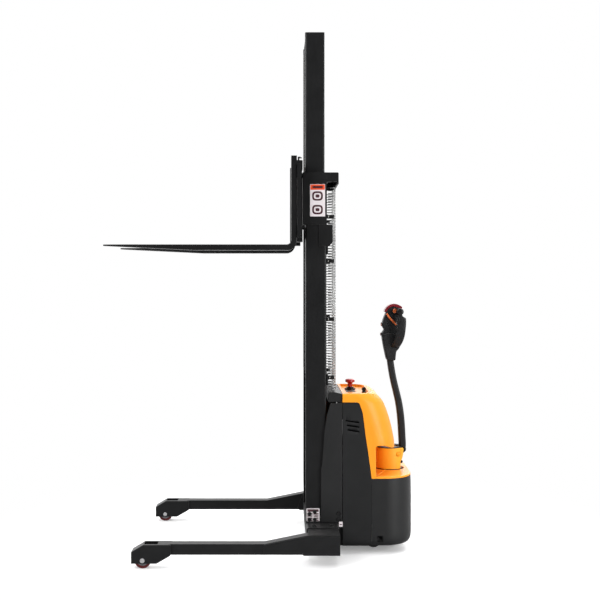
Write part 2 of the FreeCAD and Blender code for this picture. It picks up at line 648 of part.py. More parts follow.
# Side outlines (x, z): the opening in the hood, and the cover a gap inside it
SIDE_OPENING = [(BODY_X0, 40), (BODY_X0, 936), (478, 936), (490, 930), (511, 868), (527, 736),
                (544, 621), (SEAM_X, 469), (SEAM_X, 40)]
SIDE_OUTLINE = [(BODY_X0 - 1, 40), (BODY_X0 - 1, 934), (477, 934), (488, 928), (509, 867),
                (525, 735), (542, 620), (SEAM_X - 1.5, 466), (SEAM_X - 1.5, 40)]
SIDE_SLOTS = [(403, 824, 487, 811), (411, 795, 487, 783), (415, 767, 487, 755)]  # x, z, x, z


def body_loft(rows, x0=BODY_X0):
    wires = [rounded_section(x0, x1, half, 6, r, z) for x1, half, r, z in rows]
    return Part.makeLoft(wires, True, True)


def cavity_loft(rows, bottom_shift, top_shift):
    """Loft one wall thickness inside rows, with its two end sections shifted in z."""
    shifts = [bottom_shift] + [0] * (len(rows) - 2) + [top_shift]
    wires = [rounded_section(BODY_X0 + WALL, x1 - WALL, half - WALL, 4, r - WALL, z + shift)
             for (x1, half, r, z), shift in zip(rows, shifts)]
    return Part.makeLoft(wires, True, True)


def rear_cover():
    shell = body_loft(LOWER_BODY).cut(cavity_loft(LOWER_BODY, -1, 1))
    cover = shell.common(box(SEAM_X + 1.5, 900, -400, 400, 0, 466.0))
    for side in SIDES:      # jacking pockets
        cover = cover.cut(box(595, 633, side * 330, side * 290, 70, 114))
    return cover


def hood_cover():
    solid = body_loft(UPPER_BODY)
    hood = solid.cut(cavity_loft(UPPER_BODY, -1, -4))
    # niche round the tiller base
    hood = hood.cut(fuse(box(NICHE_X, 900, -400, 400, SHELF_Z, NICHE_TOP),
                         cyl_z(NICHE_R, AXIS_X, 0, SHELF_Z, NICHE_TOP)))
    ceiling = body_loft([(719, 318, 131, NICHE_TOP), (718.5, 317.6, 131, NICHE_TOP + 4)],
                        BODY_X0 + 10).common(box(500, 900, -400, 400, 640, 660))
    shelf = body_loft([(824, 320, 176, 467), (822, 318, 174, SHELF_Z - 3),
                       (816, 312, 168, SHELF_Z)], BODY_X0 + 10)
    shelf = shelf.common(box(500, 900, -400, 400, 460, 480))
    shelf = shelf.cut(cyl_z(95, AXIS_X, 0, 400, 500))
    floor_z, roof_z = SHELF_Z - 1, NICHE_TOP + 2
    wall = fuse(box(NICHE_X - WALL, NICHE_X, -316, -100, floor_z, roof_z),
                box(NICHE_X - WALL, NICHE_X, 100, 316, floor_z, roof_z))
    ring = tube_z(NICHE_R + WALL, NICHE_R, AXIS_X, 0, floor_z, roof_z)
    ring = ring.common(box(500, NICHE_X, -150, 150, 400, 700))
    wall = wall.cut(cyl_z(NICHE_R, AXIS_X, 0, 400, 700)).common(solid)
    hood = fuse(hood, ceiling, shelf, wall, ring)
    # round recess in the rear face, in front of the upright tiller
    recess = cyl_z(116, AXIS_X, 0, 642, 1000).common(box(664, 900, -200, 200, 600, 1000))
    recess = recess.common(solid)
    recess_cut = cyl_z(112, AXIS_X, 0, 600, 1000).common(box(668, 900, -200, 200, 640, 1000))
    hood = hood.fuse(recess).cut(recess_cut).cut(cyl_z(95, AXIS_X, 0, 400, 500))
    hood = hood.cut(prism_xz(SIDE_OPENING, -400, -300)).cut(prism_xz(SIDE_OPENING, 300, 400))
    hood = hood.cut(box(BODY_X0 - 5, 500, -400, 400, 400, 936))     # open to the battery bay
    hood = hood.cut(rounded_block(395.5, 560.5, 284.5, 10.5, 102.5, 975, 25))   # tray opening
    return largest(hood)


def side_cover():
    shell = body_loft(SIDE_BODY).cut(cavity_loft(SIDE_BODY, -1, 1))
    cover = shell.common(prism_xz(SIDE_OUTLINE, -400, -290))
    for x0, z0, x1, z1 in SIDE_SLOTS:
        slot = [(x0, z0 + 5), (x1, z1 + 5), (x1, z1 - 5), (x0, z0 - 5)]
        cover = cover.cut(prism_xz(slot, -340, -300))
    return largest(cover)


def battery_shroud():
    """Left shroud beside the mast foot, with holes round the rear cheek bolts."""
    shroud = prism_xz([(252, 197), (252, 534), (258, 540), (274, 761), (289, 859), (311, 930),
                       (383, 934), (383, 197)], -319, -314)
    shroud = fillet(shroud, 2.0, lambda e: abs(mid(e).y + 319) < 0.5)
    shroud = fuse(shroud, box(375, 383, -314, -301, 335, 930), box(316, 383, -314, -301, 924, 929))
    for x, z in REAR_CHEEK_BOLTS:
        shroud = shroud.cut(cyl_y(14.5, x, z, -325, -300))
    return shroud


def front_bezel():
    """Bezel between mast and hood."""
    bezel = prism_xz([(299, 936), (299, 980), (306, 997), (340, 997), (384, 987), (384, 936)],
                     -300, 300)
    bezel = fillet(bezel, 4, lambda e: along(Y_AXIS)(e) and mid(e).z > 979)
    return bezel.cut(box(303, 390, -294, 294, 930, 981))


save("rear_cover", rear_cover())
save("hood_cover", hood_cover())
save_pair("side_cover", side_cover())
save("battery_shrouds", *pair(battery_shroud()))
save("hood_front_bezel", front_bezel())


# ---------------------------------------------------------------- instruments in the hood top
def instrument_tray():
    tray = rounded_block(396, 560, 284, 10, 102, 970, 18.5)
    tray = tray.cut(rounded_block(401, 555, 279, 8, 98, TRAY_FLOOR, 20))
    tray = tray.cut(cyl_z(15, ESTOP_X, ESTOP_Y, 960, 990)).cut(cyl_z(9, KEY_X, KEY_Y, 960, 990))
    return tray.cut(box(424, 486, -66, 46, 965, 990))


def estop_collar():
    collar = fuse(cyl_z(36, ESTOP_X, ESTOP_Y, TRAY_FLOOR, 982),
                  cyl_z(24, ESTOP_X, ESTOP_Y, 982, 990),
                  cyl_z(14.5, ESTOP_X, ESTOP_Y, 930, TRAY_FLOOR))
    return collar.cut(cyl_z(10.1, ESTOP_X, ESTOP_Y, 925, 995))


def key_collar():
    collar = fuse(cyl_z(15, KEY_X, KEY_Y, TRAY_FLOOR, 981),
                  cyl_z(8.8, KEY_X, KEY_Y, 940, TRAY_FLOOR))
    return collar.cut(cyl_z(5.1, KEY_X, KEY_Y, 950, 985))


def gauge():
    return fillet(box(424.5, 485.5, -65.5, 45.5, 966, 975.5), 3,
                  lambda e: abs(mid(e).z - 975.5) < 0.1 or along(Z_AXIS)(e))


def emergency_stop():
    return fuse(cyl_z(10, ESTOP_X, ESTOP_Y, 935, 1008),
                Part.makeCone(14, 31, 12, Vector(ESTOP_X, ESTOP_Y, 1004)),
                cyl_z(31, ESTOP_X, ESTOP_Y, 1016, 1024),
                Part.makeCone(31, 20, 6, Vector(ESTOP_X, ESTOP_Y, 1024)))


def key():
    bow = fillet(box(KEY_X - 8, KEY_X + 8, KEY_Y - 3, KEY_Y + 3, 982, 1008), 2, every_edge)
    return fuse(cyl_z(5.0, KEY_X, KEY_Y, 951, 982), bow, cyl_z(9, KEY_X, KEY_Y, 982, 986))


save("instrument_tray", instrument_tray())
save("emergency_stop_button", emergency_stop())
save("key", key())
save("switch_collars_and_gauge", estop_collar(), key_collar(), gauge())


# ---------------------------------------------------------------- inside the body
def battery(side, z0, z1):
    block = box(300, 380, side * 8, side * 285, z0, z1)
    for y in (40, 250):     # terminals
        block = block.fuse(cyl_z(8, 340, side * y, z1, z1 + 12))
    return block.removeSplitter()


def power_pack():
    tank = fillet(box(400, 480, -270, -40, 445, 640), 8, along(Z_AXIS))
    valve = box(410, 470, -250, -150, 640, 690)
    motor = fillet(cyl_z(46, 440, -95, 640, 800), 6, lambda e: mid(e).z > 790)
    cartridge = cyl_y(14, 440, 665, -275, -250)
    return tank.fuse([valve, motor, cartridge]).removeSplitter()


def motor_controller():
    controller = box(400, 480, 60, 260, 500, 600)
    for k in range(9):      # cooling fins
        controller = controller.fuse(box(400, 480, 66 + 22 * k, 72 + 22 * k, 600, 622))
    for k in range(4):      # terminals
        controller = controller.fuse(cyl_x(6, 90 + 45 * k, 550, 480, 494))
    return controller.removeSplitter()


HOSE_ROUTE = [(470.2, -160, 665), (490, -160, 665), (490, -160, 460), (490, 0, 460),
              (340, 0, 460), (340, 0, FEED_Z), (CYL_X + 8, 0, FEED_Z)]     # (x, y, z)


def hose_run(route, r, bend):
    """Round hose along route, each right-angle corner an arc of radius bend."""
    points = [Vector(*p) for p in route]
    edges, last = [], points[0]
    for before, corner, after in zip(points, points[1:], points[2:]):
        back = (before - corner).normalize()
        ahead = (after - corner).normalize()
        start, end = corner + back * bend, corner + ahead * bend
        middle = corner + (back + ahead) * (bend * (1 - math.sqrt(0.5)))
        edges += [line(last, start), arc(start, middle, end)]
        last = end
    edges.append(line(last, points[-1]))
    heading = (points[1] - points[0]).normalize()
    profile = Part.Face(Part.Wire(Part.makeCircle(r, points[0], heading)))
    return Part.Wire(edges).makePipe(profile)


def hydraulic_hose():
    """Hose from the valve to a tee between the cylinder feet."""
    tee = fuse(box(CYL_X - 8, CYL_X + 8, -9, 9, FEED_Z - 8, FEED_Z + 8),
               cyl_y(6, CYL_X, FEED_Z, -95.8, -9), cyl_y(6, CYL_X, FEED_Z, 9, 95.8))
    return largest(hose_run(HOSE_ROUTE, 6, 15).fuse(tee).removeSplitter())


save("battery_pack",
     *[battery(side, z0, z1) for side in SIDES for z0, z1 in ((200, 452), (480, 712))])
save("hydraulic_power_pack", power_pack())
save("motor_controller", motor_controller())
save("hydraulic_hose", hydraulic_hose())


# ---------------------------------------------------------------- steered drive unit
def slew_ring():
    ring = fuse(tube_z(SLEW_R, SLEW_BORE_R, AXIS_X, 0, DECK_Z0, DECK_Z1),
                tube_z(88, SLEW_BORE_R, AXIS_X, 0, DECK_Z1, DECK_Z1 + 6))
    for k in range(8):      # bolt heads
        x, y = polar(AXIS_X, 0, 80, 45 * k + 22.5)
        ring = ring.fuse(prism_xy(hexagon(x, y, 6), DECK_Z1 + 6, DECK_Z1 + 10))
    return ring.removeSplitter()


def drive_gearbox():
    gearbox = cyl_z(60.0, AXIS_X, 0, 250, 441)
    case = box(AXIS_X - 52, AXIS_X + 52, 44, 86, 56, 266)
    gearbox = gearbox.fuse(fillet(case, 18, along(Y_AXIS)))
    gearbox = gearbox.fuse(box(AXIS_X - 50, AXIS_X + 50, -46, 86, 226, 266))
    gearbox = gearbox.fuse(cyl_y(14.95, AXIS_X, WHEEL_R, -42, 60))      # wheel shaft
    gearbox = gearbox.fuse(cyl_z(82, AXIS_X, 0, 440.5, 452))            # motor flange
    return gearbox.fuse(tube_z(80, 70, AXIS_X, 0, 452, 481.5)).removeSplitter()


def drive_motor():
    motor = fillet(cyl_z(46, AXIS_X, 0, 452, 536), 4, lambda e: mid(e).z > 530)
    for k in range(16):
        fin = box(-1.5, 1.5, 44, 52, 458, 530)
        fin.rotate(Vector(0, 0, 0), Z_AXIS, 22.5 * k)
        motor = motor.fuse(fin.translated(Vector(AXIS_X, 0, 0)))
    return motor.fuse(cyl_z(34, AXIS_X, 0, 536, 545)).removeSplitter()


def drive_wheel_hub():
    hub = cyl_y(TREAD_IN_R, AXIS_X, WHEEL_R, -36, 36).cut(cyl_y(15.0, AXIS_X, WHEEL_R, -60, 60))
    hub = hub.cut(tube_y(56, 28, AXIS_X, WHEEL_R, -37, -22))
    for k in range(5):      # wheel nuts
        x, z = polar(AXIS_X, WHEEL_R, 42, 72 * k)
        hub = hub.fuse(prism_xz(hexagon(x, z, 7), -28, -22))
    return hub.removeSplitter()


def drive_wheel_tyre():
    tyre = fillet(cyl_y(WHEEL_R, AXIS_X, WHEEL_R, -WHEEL_W / 2, WHEEL_W / 2), 6, every_edge)
    return tyre.cut(cyl_y(TREAD_IN_R, AXIS_X, WHEEL_R, -60, 60))


save("slew_bearing_ring", slew_ring())
save("drive_gearbox", drive_gearbox())
save("drive_motor", drive_motor())
save("drive_wheel_hub", drive_wheel_hub())
save("drive_wheel_tyre", drive_wheel_tyre())

# ---------------------------------------------------------------- tiller base
BASE_Z0, BASE_Z1 = 482.0, 614.0
# Side outlines of the base, (x, z)
NOSE = [(600, BASE_Z1), (786, BASE_Z1), (795, 604), (793, 570), (784, 540), (766, 516),
        (764, BASE_Z0), (600, BASE_Z0)]
NOSE_INSIDE = [(600, BASE_Z1 - 4), (782, BASE_Z1 - 4), (790, 602), (788, 571), (779, 542),
               (762, 519)]
NOSE_CAVITY = NOSE_INSIDE + [(759, BASE_Z0 - 1), (600, BASE_Z0 - 1)]
NOSE_FOOT = NOSE_INSIDE + [(761, BASE_Z0 - 1), (600, BASE_Z0 - 1)]


def tiller_base():
    """Hollow barrel round the steering axis with a nose at the rear for the pivot."""
    base = fuse(cyl_z(88, AXIS_X, 0, BASE_Z0, BASE_Z1), box(AXIS_X, 800, -58, 58, BASE_Z0, BASE_Z1))
    base = base.common(prism_xz(NOSE, -90, 90))
    cavity = fuse(cyl_z(83, AXIS_X, 0, BASE_Z0 - 1, BASE_Z1 - 4),
                  box(AXIS_X, 790, -53, 53, BASE_Z0 - 1, BASE_Z1 - 4))
    base = base.cut(cavity.common(prism_xz(NOSE_CAVITY, -90, 90)))
    foot = tube_z(84, 66, AXIS_X, 0, BASE_Z0, BASE_Z0 + 6).common(prism_xz(NOSE_FOOT, -90, 90))
    lug = cyl_y(18, PIVOT_X, PIVOT_Z, 34.5, 56)
    base = base.fuse([foot, *pair(lug)]).removeSplitter()
    base = base.cut(box(738, 820, -34, 34, 534, 640))
    base = base.cut(cyl_y(10.0, PIVOT_X, PIVOT_Z, -95, 95))
    for side in SIDES:
        base = base.cut(cyl_y(16, PIVOT_X, PIVOT_Z, side * 59.5, side * 95))
    return base


def base_cap():
    z0, z1 = BASE_Z1, BASE_Z1 + 7
    cap = cyl_z(86, AXIS_X, 0, z0, z1).cut(box(737, 900, -34, 34, z0 - 1, z1 + 1))
    cap = cap.cut(box(784, 900, -90, 90, z0 - 1, z1 + 1))
    return cap.fuse([box(AXIS_X, 784, -56, -35, z0, z1),
                     box(AXIS_X, 784, 35, 56, z0, z1)]).removeSplitter()


def base_stop(base):
    """Rubber stop under the nose, trimmed to the base."""
    stop = fuse(cyl_y(10, 782, 518, -24, 24), box(757, 782, -10, 10, 508, 526))
    return largest(stop.cut(base).cut(box(700, 764.5, -60, 60, 480, 560)))


base_shape = tiller_base()
save("tiller_base", base_shape.removeSplitter())
save("tiller_base_trim", base_cap(), base_stop(base_shape))

# ---------------------------------------------------------------- tiller arm and head
# All outlines are (x, z) except GUARD_BAND, which is (y, z).
ARM_LINE = [(790, 609), (783, 776), (765, 912), (733, 1048), (711, 1180)]
POD = [(685, 1178), (680, 1200), (661, 1301), (655, 1345), (668, 1364), (671, 1374), (660, 1386),
       (659, 1410), (672, 1450), (686, 1482), (692, 1496), (764, 1500), (764, 1470), (756, 1440),
       (760, 1330), (778, 1266), (746, 1230), (743, 1178)]
NECK = [(686, 1178), (676, 1230), (660, 1330), (700, 1350), (790, 1330), (780, 1266),
        (744, 1230), (742, 1178)]
GUARD_SIDE = [(700, 1250), (744, 1226), (780, 1266), (804, 1321), (818, 1430), (807, 1447),
              (776, 1453), (756, 1448), (748, 1400), (736, 1330), (700, 1320)]
GUARD_BAND = [(0, 1226), (-44, 1232), (-84, 1272), (-112, 1330), (-120, 1390), (-120, 1460),
              (-98, 1460), (-98, 1396), (-88, 1358), (-68, 1330), (-36, 1318), (0, 1318)]
BELLY = [(684, 1506), (694, 1518), (712, 1530), (738, 1537), (764, 1532), (784, 1518),
         (780, 1511), (762, 1523), (738, 1528), (714, 1521), (698, 1510), (690, 1503)]
WING = [(714, 1476), (722, 1494), (736, 1496), (744, 1480), (741, 1430), (735, 1398),
        (726, 1394), (718, 1410), (714, 1440)]
THROTTLE_X, THROTTLE_Z = 728, 1456
GRIP_Z = 1486
BUTTONS = [     # name, radius, y, z, front x
    ("lift_button", 12.0, -20, 1404, 654.0),
    ("lower_button", 12.0, 20, 1404, 654.0),
    ("horn_button", 10.0, 0, 1340, 649.0),
]


def arm_bar(width, thickness):
    """Flat bar along ARM_LINE, width in y and thickness across the line."""
    centre = Part.BSplineCurve()
    centre.interpolate([Vector(x, 0, z) for x, z in ARM_LINE])
    steps = 24
    first, last = centre.FirstParameter, centre.LastParameter
    faces = ([], [])
    for i in range(steps + 1):
        p = first + (last - first) * i / steps
        tangent = centre.tangent(p)[0]
        offset = Vector(-tangent.z, 0, tangent.x) * (thickness / 2)
        faces[0].append(centre.value(p) + offset)
        faces[1].append(centre.value(p) - offset)
    curves = (Part.BSplineCurve(), Part.BSplineCurve())
    for curve, points in zip(curves, faces):
        curve.interpolate(points)
    outline = Part.Face(Part.Wire([
        curves[0].toShape(), line(faces[0][-1], faces[1][-1]),
        curves[1].toShape().reversed(), line(faces[1][0], faces[0][0])]))
    outline.translate(Vector(0, -width / 2, 0))
    return outline.extrude(Vector(0, width, 0))


def tiller_arm():
    arm = fillet(arm_bar(60, 44), 9, on_side(30, 200))
    knuckle = fuse(cyl_y(20, PIVOT_X, PIVOT_Z, -30, 30),
                   prism_xz([(PIVOT_X - 6, PIVOT_Z + 17), (768, 611), (812, 609), (812, 597),
                             (800, 580), (PIVOT_X + 12, PIVOT_Z - 15)], -30, 30))
    arm = arm.fuse(knuckle).removeSplitter()
    return arm.cut(cyl_y(PIVOT_R + 0.1, PIVOT_X, PIVOT_Z, -60, 60))


def tiller_head():
    pod = fillet(prism_xz(POD, -34, 34), 7, on_side(34, 20))
    neck = prism_xz(NECK, -44, 44)
    guard = prism_xz(GUARD_SIDE, -125, 125).common(prism_yz(GUARD_BAND, 690, 825))
    guard = fillet(guard, 5, on_side(120, 15))
    grip = fuse(cyl_y(24, 776, GRIP_Z, -116, -34), box(764, 796, -116, -100, 1440, 1470))
    grip = fillet(grip, 5, lambda e: abs(mid(e).y + 116) < 0.5 and abs(mid(e).z - GRIP_Z) < 20)
    grip = grip.fuse(box(740, 770, -36, -28, 1470, 1496))
    head = pod.fuse([neck, *pair(guard), *pair(grip)]).removeSplitter()
    # socket for the arm, slot for the belly button, then shaft and button holes
    head = head.cut(arm_bar(60.4, 44.4))
    head = head.cut(box(694, 758, -20, 20, 1484, 1540))
    head = head.cut(cyl_y(8.2, THROTTLE_X, THROTTLE_Z, -60, 60))
    for _, r, y, z, _ in BUTTONS:
        head = head.cut(cyl_x(r + 0.2, y, z, 640, 690))
    return largest(head)


def throttle():
    """Butterfly throttle: one shaft with a thumb wing each side."""
    wing = fillet(prism_xz(WING, -58, -36), 4, lambda e: abs(mid(e).y + 58) < 0.5)
    shaft = cyl_y(8.0, THROTTLE_X, THROTTLE_Z, -40, 40)
    return shaft.fuse(pair(wing)).removeSplitter()


def push_button(r, y, z, front_x):
    return fillet(cyl_x(r, y, z, front_x, 684), 2, lambda e: mid(e).x < front_x + 1)


save("tiller_arm", tiller_arm())
save("tiller_pivot_pin", headed_pin(PIVOT_X, PIVOT_Z, -60, 60))
save("tiller_head", tiller_head())
save("belly_button", fuse(prism_xz(BELLY, -34, 34), box(696, 756, -18.5, 18.5, 1490, 1520)))
save("throttle_butterfly", throttle())
for button_name, *button_sizes in BUTTONS:
    save(button_name, push_button(*button_sizes))


# ---------------------------------------------------------------- casters
def caster_fork():
    x, y, axle_x = CASTER_X, -CASTER_Y, CASTER_X + CASTER_TRAIL
    stem = cyl_z(10, x, y, 140, 172)
    nut = prism_xy(hexagon(x, y, 13), 160, 172)
    race = cyl_z(32, x, y, 136, 149)
    top = box(x - 34, axle_x + 6, y - 27, y + 27, 128, 136)
    ear = prism_xz([(x - 30, 128), (axle_x - 16, CASTER_R - 12), (axle_x + 12, CASTER_R - 12),
                    (axle_x + 16, CASTER_R + 6), (axle_x + 2, 130), (x - 30, 130)],
                   y - 27, y - 22)
    axle = cyl_y(6.0, axle_x, CASTER_R, y - 30, y + 30)
    return fuse(stem, nut, race, top, ear, ear.translated(Vector(0, 49, 0)), axle)


def caster_wheel():
    x, y, z = CASTER_X + CASTER_TRAIL, -CASTER_Y, CASTER_R
    wheel = fillet(cyl_y(CASTER_R, x, z, y - CASTER_W / 2, y + CASTER_W / 2), 4, every_edge)
    wheel = wheel.cut(cyl_y(6.05, x, z, y - 30, y + 30))
    wheel = wheel.cut(tube_y(34, 14, x, z, y - 19, y - 12))
    return wheel.cut(tube_y(34, 14, x, z, y + 12, y + 19))


save_pair("caster_fork", caster_fork())
save_pair("caster_wheel", caster_wheel())
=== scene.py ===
# Walk-behind stacker truck: mast and lift chains at low X, body covers behind them, tiller at
# high X. Rear is +X, left is -Y, up is +Z, and the truck is symmetric about Y = 0.
# Shapes are given in millimetres in the design's own X and placed in metres by point().
import bpy
import bmesh
import json
import math
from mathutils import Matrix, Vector


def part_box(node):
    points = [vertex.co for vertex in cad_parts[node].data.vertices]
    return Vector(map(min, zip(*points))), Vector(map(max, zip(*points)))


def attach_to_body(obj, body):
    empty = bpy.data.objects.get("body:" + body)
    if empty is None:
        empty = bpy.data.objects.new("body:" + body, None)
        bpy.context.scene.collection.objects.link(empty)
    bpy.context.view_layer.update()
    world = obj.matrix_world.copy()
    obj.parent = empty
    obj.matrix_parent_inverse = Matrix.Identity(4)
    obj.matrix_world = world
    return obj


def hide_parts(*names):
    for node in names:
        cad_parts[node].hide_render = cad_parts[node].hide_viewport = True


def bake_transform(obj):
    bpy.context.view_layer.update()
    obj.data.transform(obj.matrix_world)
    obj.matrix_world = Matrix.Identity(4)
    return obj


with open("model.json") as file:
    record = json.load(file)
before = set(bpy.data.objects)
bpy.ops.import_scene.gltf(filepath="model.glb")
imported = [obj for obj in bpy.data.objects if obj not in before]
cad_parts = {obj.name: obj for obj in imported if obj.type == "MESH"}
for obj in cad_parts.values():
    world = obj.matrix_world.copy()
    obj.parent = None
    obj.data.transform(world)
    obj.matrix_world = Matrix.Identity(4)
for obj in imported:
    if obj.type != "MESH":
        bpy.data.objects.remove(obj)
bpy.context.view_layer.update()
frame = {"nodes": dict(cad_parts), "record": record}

NODES = frame["nodes"]
MM = 0.001
DESIGN_MAST_X = 156.0       # low-X face of the inner mast in the design
SHIFT_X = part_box("inner_mast")[0].x * 1000 - DESIGN_MAST_X
SIDES = ((-1, "left"), (1, "right"))


def point(x, y, z):
    return Vector(((x + SHIFT_X) * MM, y * MM, z * MM))


# ---------------------------------------------------------------- shader nodes
class Shader:
    """A node tree, with short calls for the nodes used here."""

    def __init__(self, tree):
        self.tree = tree
        self.link = tree.links.new
        tree.nodes.clear()

    def add(self, kind):
        return self.tree.nodes.new("ShaderNode" + kind)

    def feed(self, socket, value):
        """Links a node output to the socket, or sets a number or a colour."""
        if isinstance(value, bpy.types.NodeSocket):
            self.link(value, socket)
        elif isinstance(value, tuple):
            socket.default_value = (*value, 1)
        else:
            socket.default_value = value

    def noise(self, scale, detail, rough=0.5, stretch=None):
        node = self.add("TexNoise")
        node.inputs["Scale"].default_value = scale
        node.inputs["Detail"].default_value = detail
        node.inputs["Roughness"].default_value = rough
        source = self.coords.outputs["Object"]
        if stretch:
            mapping = self.add("Mapping")
            mapping.inputs["Scale"].default_value = stretch
            self.link(source, mapping.inputs["Vector"])
            source = mapping.outputs[0]
        self.link(source, node.inputs["Vector"])
        return node.outputs["Fac"]

    def remap(self, source, span, to=(0.0, 1.0), smooth=False):
        node = self.add("MapRange")
        if smooth:
            node.interpolation_type = "SMOOTHSTEP"
        for index, value in enumerate((*span, *to), 1):
            node.inputs[index].default_value = value
        self.link(source, node.inputs[0])
        return node.outputs[0]

    def mix(self, factor, first, second):
        node = self.add("Mix")
        node.data_type = "RGBA"
        node.clamp_factor = True
        self.link(factor, node.inputs[0])
        self.feed(node.inputs[6], first)
        self.feed(node.inputs[7], second)
        return node.outputs[2]

    def math(self, operation, first, second):
        node = self.add("Math")
        node.operation = operation
        self.feed(node.inputs[0], first)
        self.feed(node.inputs[1], second)
        return node.outputs[0]

    def axes(self, source):
        node = self.add("SeparateXYZ")
        self.link(source, node.inputs[0])
        return node.outputs

    def edges(self, radius):
        """1 along convex and concave edges, 0 on open faces."""
        rounded = self.add("Bevel")
        rounded.samples = 4
        rounded.inputs["Radius"].default_value = radius
        geometry = self.add("NewGeometry")
        dot = self.add("VectorMath")
        dot.operation = "DOT_PRODUCT"
        self.link(rounded.outputs[0], dot.inputs[0])
        self.link(geometry.outputs["Normal"], dot.inputs[1])
        return self.remap(dot.outputs["Value"], span=(0.995, 0.86))


def new_material(name):
    material = bpy.data.materials.new(name)
    material.use_nodes = True
    sh = Shader(material.node_tree)
    sh.output = sh.add("OutputMaterial")
    sh.surface = sh.add("BsdfPrincipled")
    sh.link(sh.surface.outputs[0], sh.output.inputs[0])
    sh.coords = sh.add("TexCoord")
    return material, sh


# ---------------------------------------------------------------- finishes
def finish(name, color, rough, metal=0.0, spec=0.5, tint=(14.0, 0.12), smudge=(9.0, 0.08),
           grain=(900.0, 0.00006), grain2=None, wear=None, coat=0.0, stretch=None, cells=None,
           dust=None, top_coat=0.0):
    """One procedural finish. Scales are in cycles per metre, heights and radii in metres.

    tint: scale, share of colour; smudge: scale, spread of roughness
    grain, grain2, cells: scale, bump height
    wear: colour, edge radius, strength; dust: colour, strength on upward faces
    stretch: scale, scale per axis, strength and, for brushed metal, bump height
    top_coat: coat on level tops
    """
    material, sh = new_material(name)
    inputs = sh.surface.inputs

    scale, share = tint
    dark = tuple(c * (1 - share) for c in color)
    light = tuple(min(1.0, c * (1 + share)) for c in color)
    base = sh.mix(sh.remap(sh.noise(scale, 4), span=(0.35, 0.65)), dark, light)
    if stretch:
        streaks = sh.noise(stretch[0], 2, 0.6, stretch[1])
        streak_color = tuple(min(1.0, c * 1.35 + 0.01) for c in color)
        base = sh.mix(sh.remap(streaks, span=(0.3, 0.7), to=(0, stretch[2])), base, streak_color)
    if dust:
        up = sh.axes(sh.add("NewGeometry").outputs["Normal"])[2]
        up = sh.remap(up, span=(0.5, 1.0), to=(0.0, dust[1]))
        patches = sh.remap(sh.noise(40, 5), span=(0.4, 0.7), to=(0.2, 1))
        base = sh.mix(sh.math("MULTIPLY", up, patches), base, dust[0])

    scale, spread = smudge
    roughness = sh.remap(sh.noise(scale, 5, 0.6), span=(0.3, 0.7),
                         to=(rough - spread / 2, rough + spread / 2))
    if wear:
        worn = sh.edges(wear[1])
        chips = sh.remap(sh.noise(160, 6, 0.7), span=(0.46, 0.6))
        worn = sh.math("MULTIPLY", sh.math("MULTIPLY", worn, chips), wear[2])
        base = sh.mix(worn, base, wear[0])
    sh.link(base, inputs["Base Color"])
    sh.link(roughness, inputs["Roughness"])
    inputs["Metallic"].default_value = metal
    inputs["Specular IOR Level"].default_value = spec
    inputs["Coat Weight"].default_value = coat
    inputs["Coat Roughness"].default_value = 0.16 if top_coat else 0.10
    if top_coat:
        up = sh.axes(sh.add("NewGeometry").outputs["Normal"])[2]
        sh.link(sh.remap(up, span=(0.955, 0.995), to=(coat, top_coat)), inputs["Coat Weight"])

    layers = [(sh.noise(grain[0], 2), grain[1])]
    if grain2:
        layers.append((sh.noise(grain2[0], 3), grain2[1]))
    if stretch and len(stretch) > 3:
        layers.append((sh.noise(stretch[0], 2, 0.6, stretch[1]), stretch[3]))
    if cells:
        voronoi = sh.add("TexVoronoi")
        voronoi.feature = "SMOOTH_F1"
        voronoi.inputs["Scale"].default_value = cells[0]
        sh.link(sh.coords.outputs["Object"], voronoi.inputs["Vector"])
        layers.append((voronoi.outputs["Distance"], cells[1]))
    normal = None
    for source, height in layers:
        bump = sh.add("Bump")
        bump.inputs["Strength"].default_value = 1.0
        bump.inputs["Distance"].default_value = height
        sh.link(source, bump.inputs["Height"])
        if normal is not None:
            sh.link(normal, bump.inputs["Normal"])
        normal = bump.outputs[0]
    sh.link(normal, inputs["Normal"])
    if coat:
        sh.link(normal, inputs["Coat Normal"])
    return material


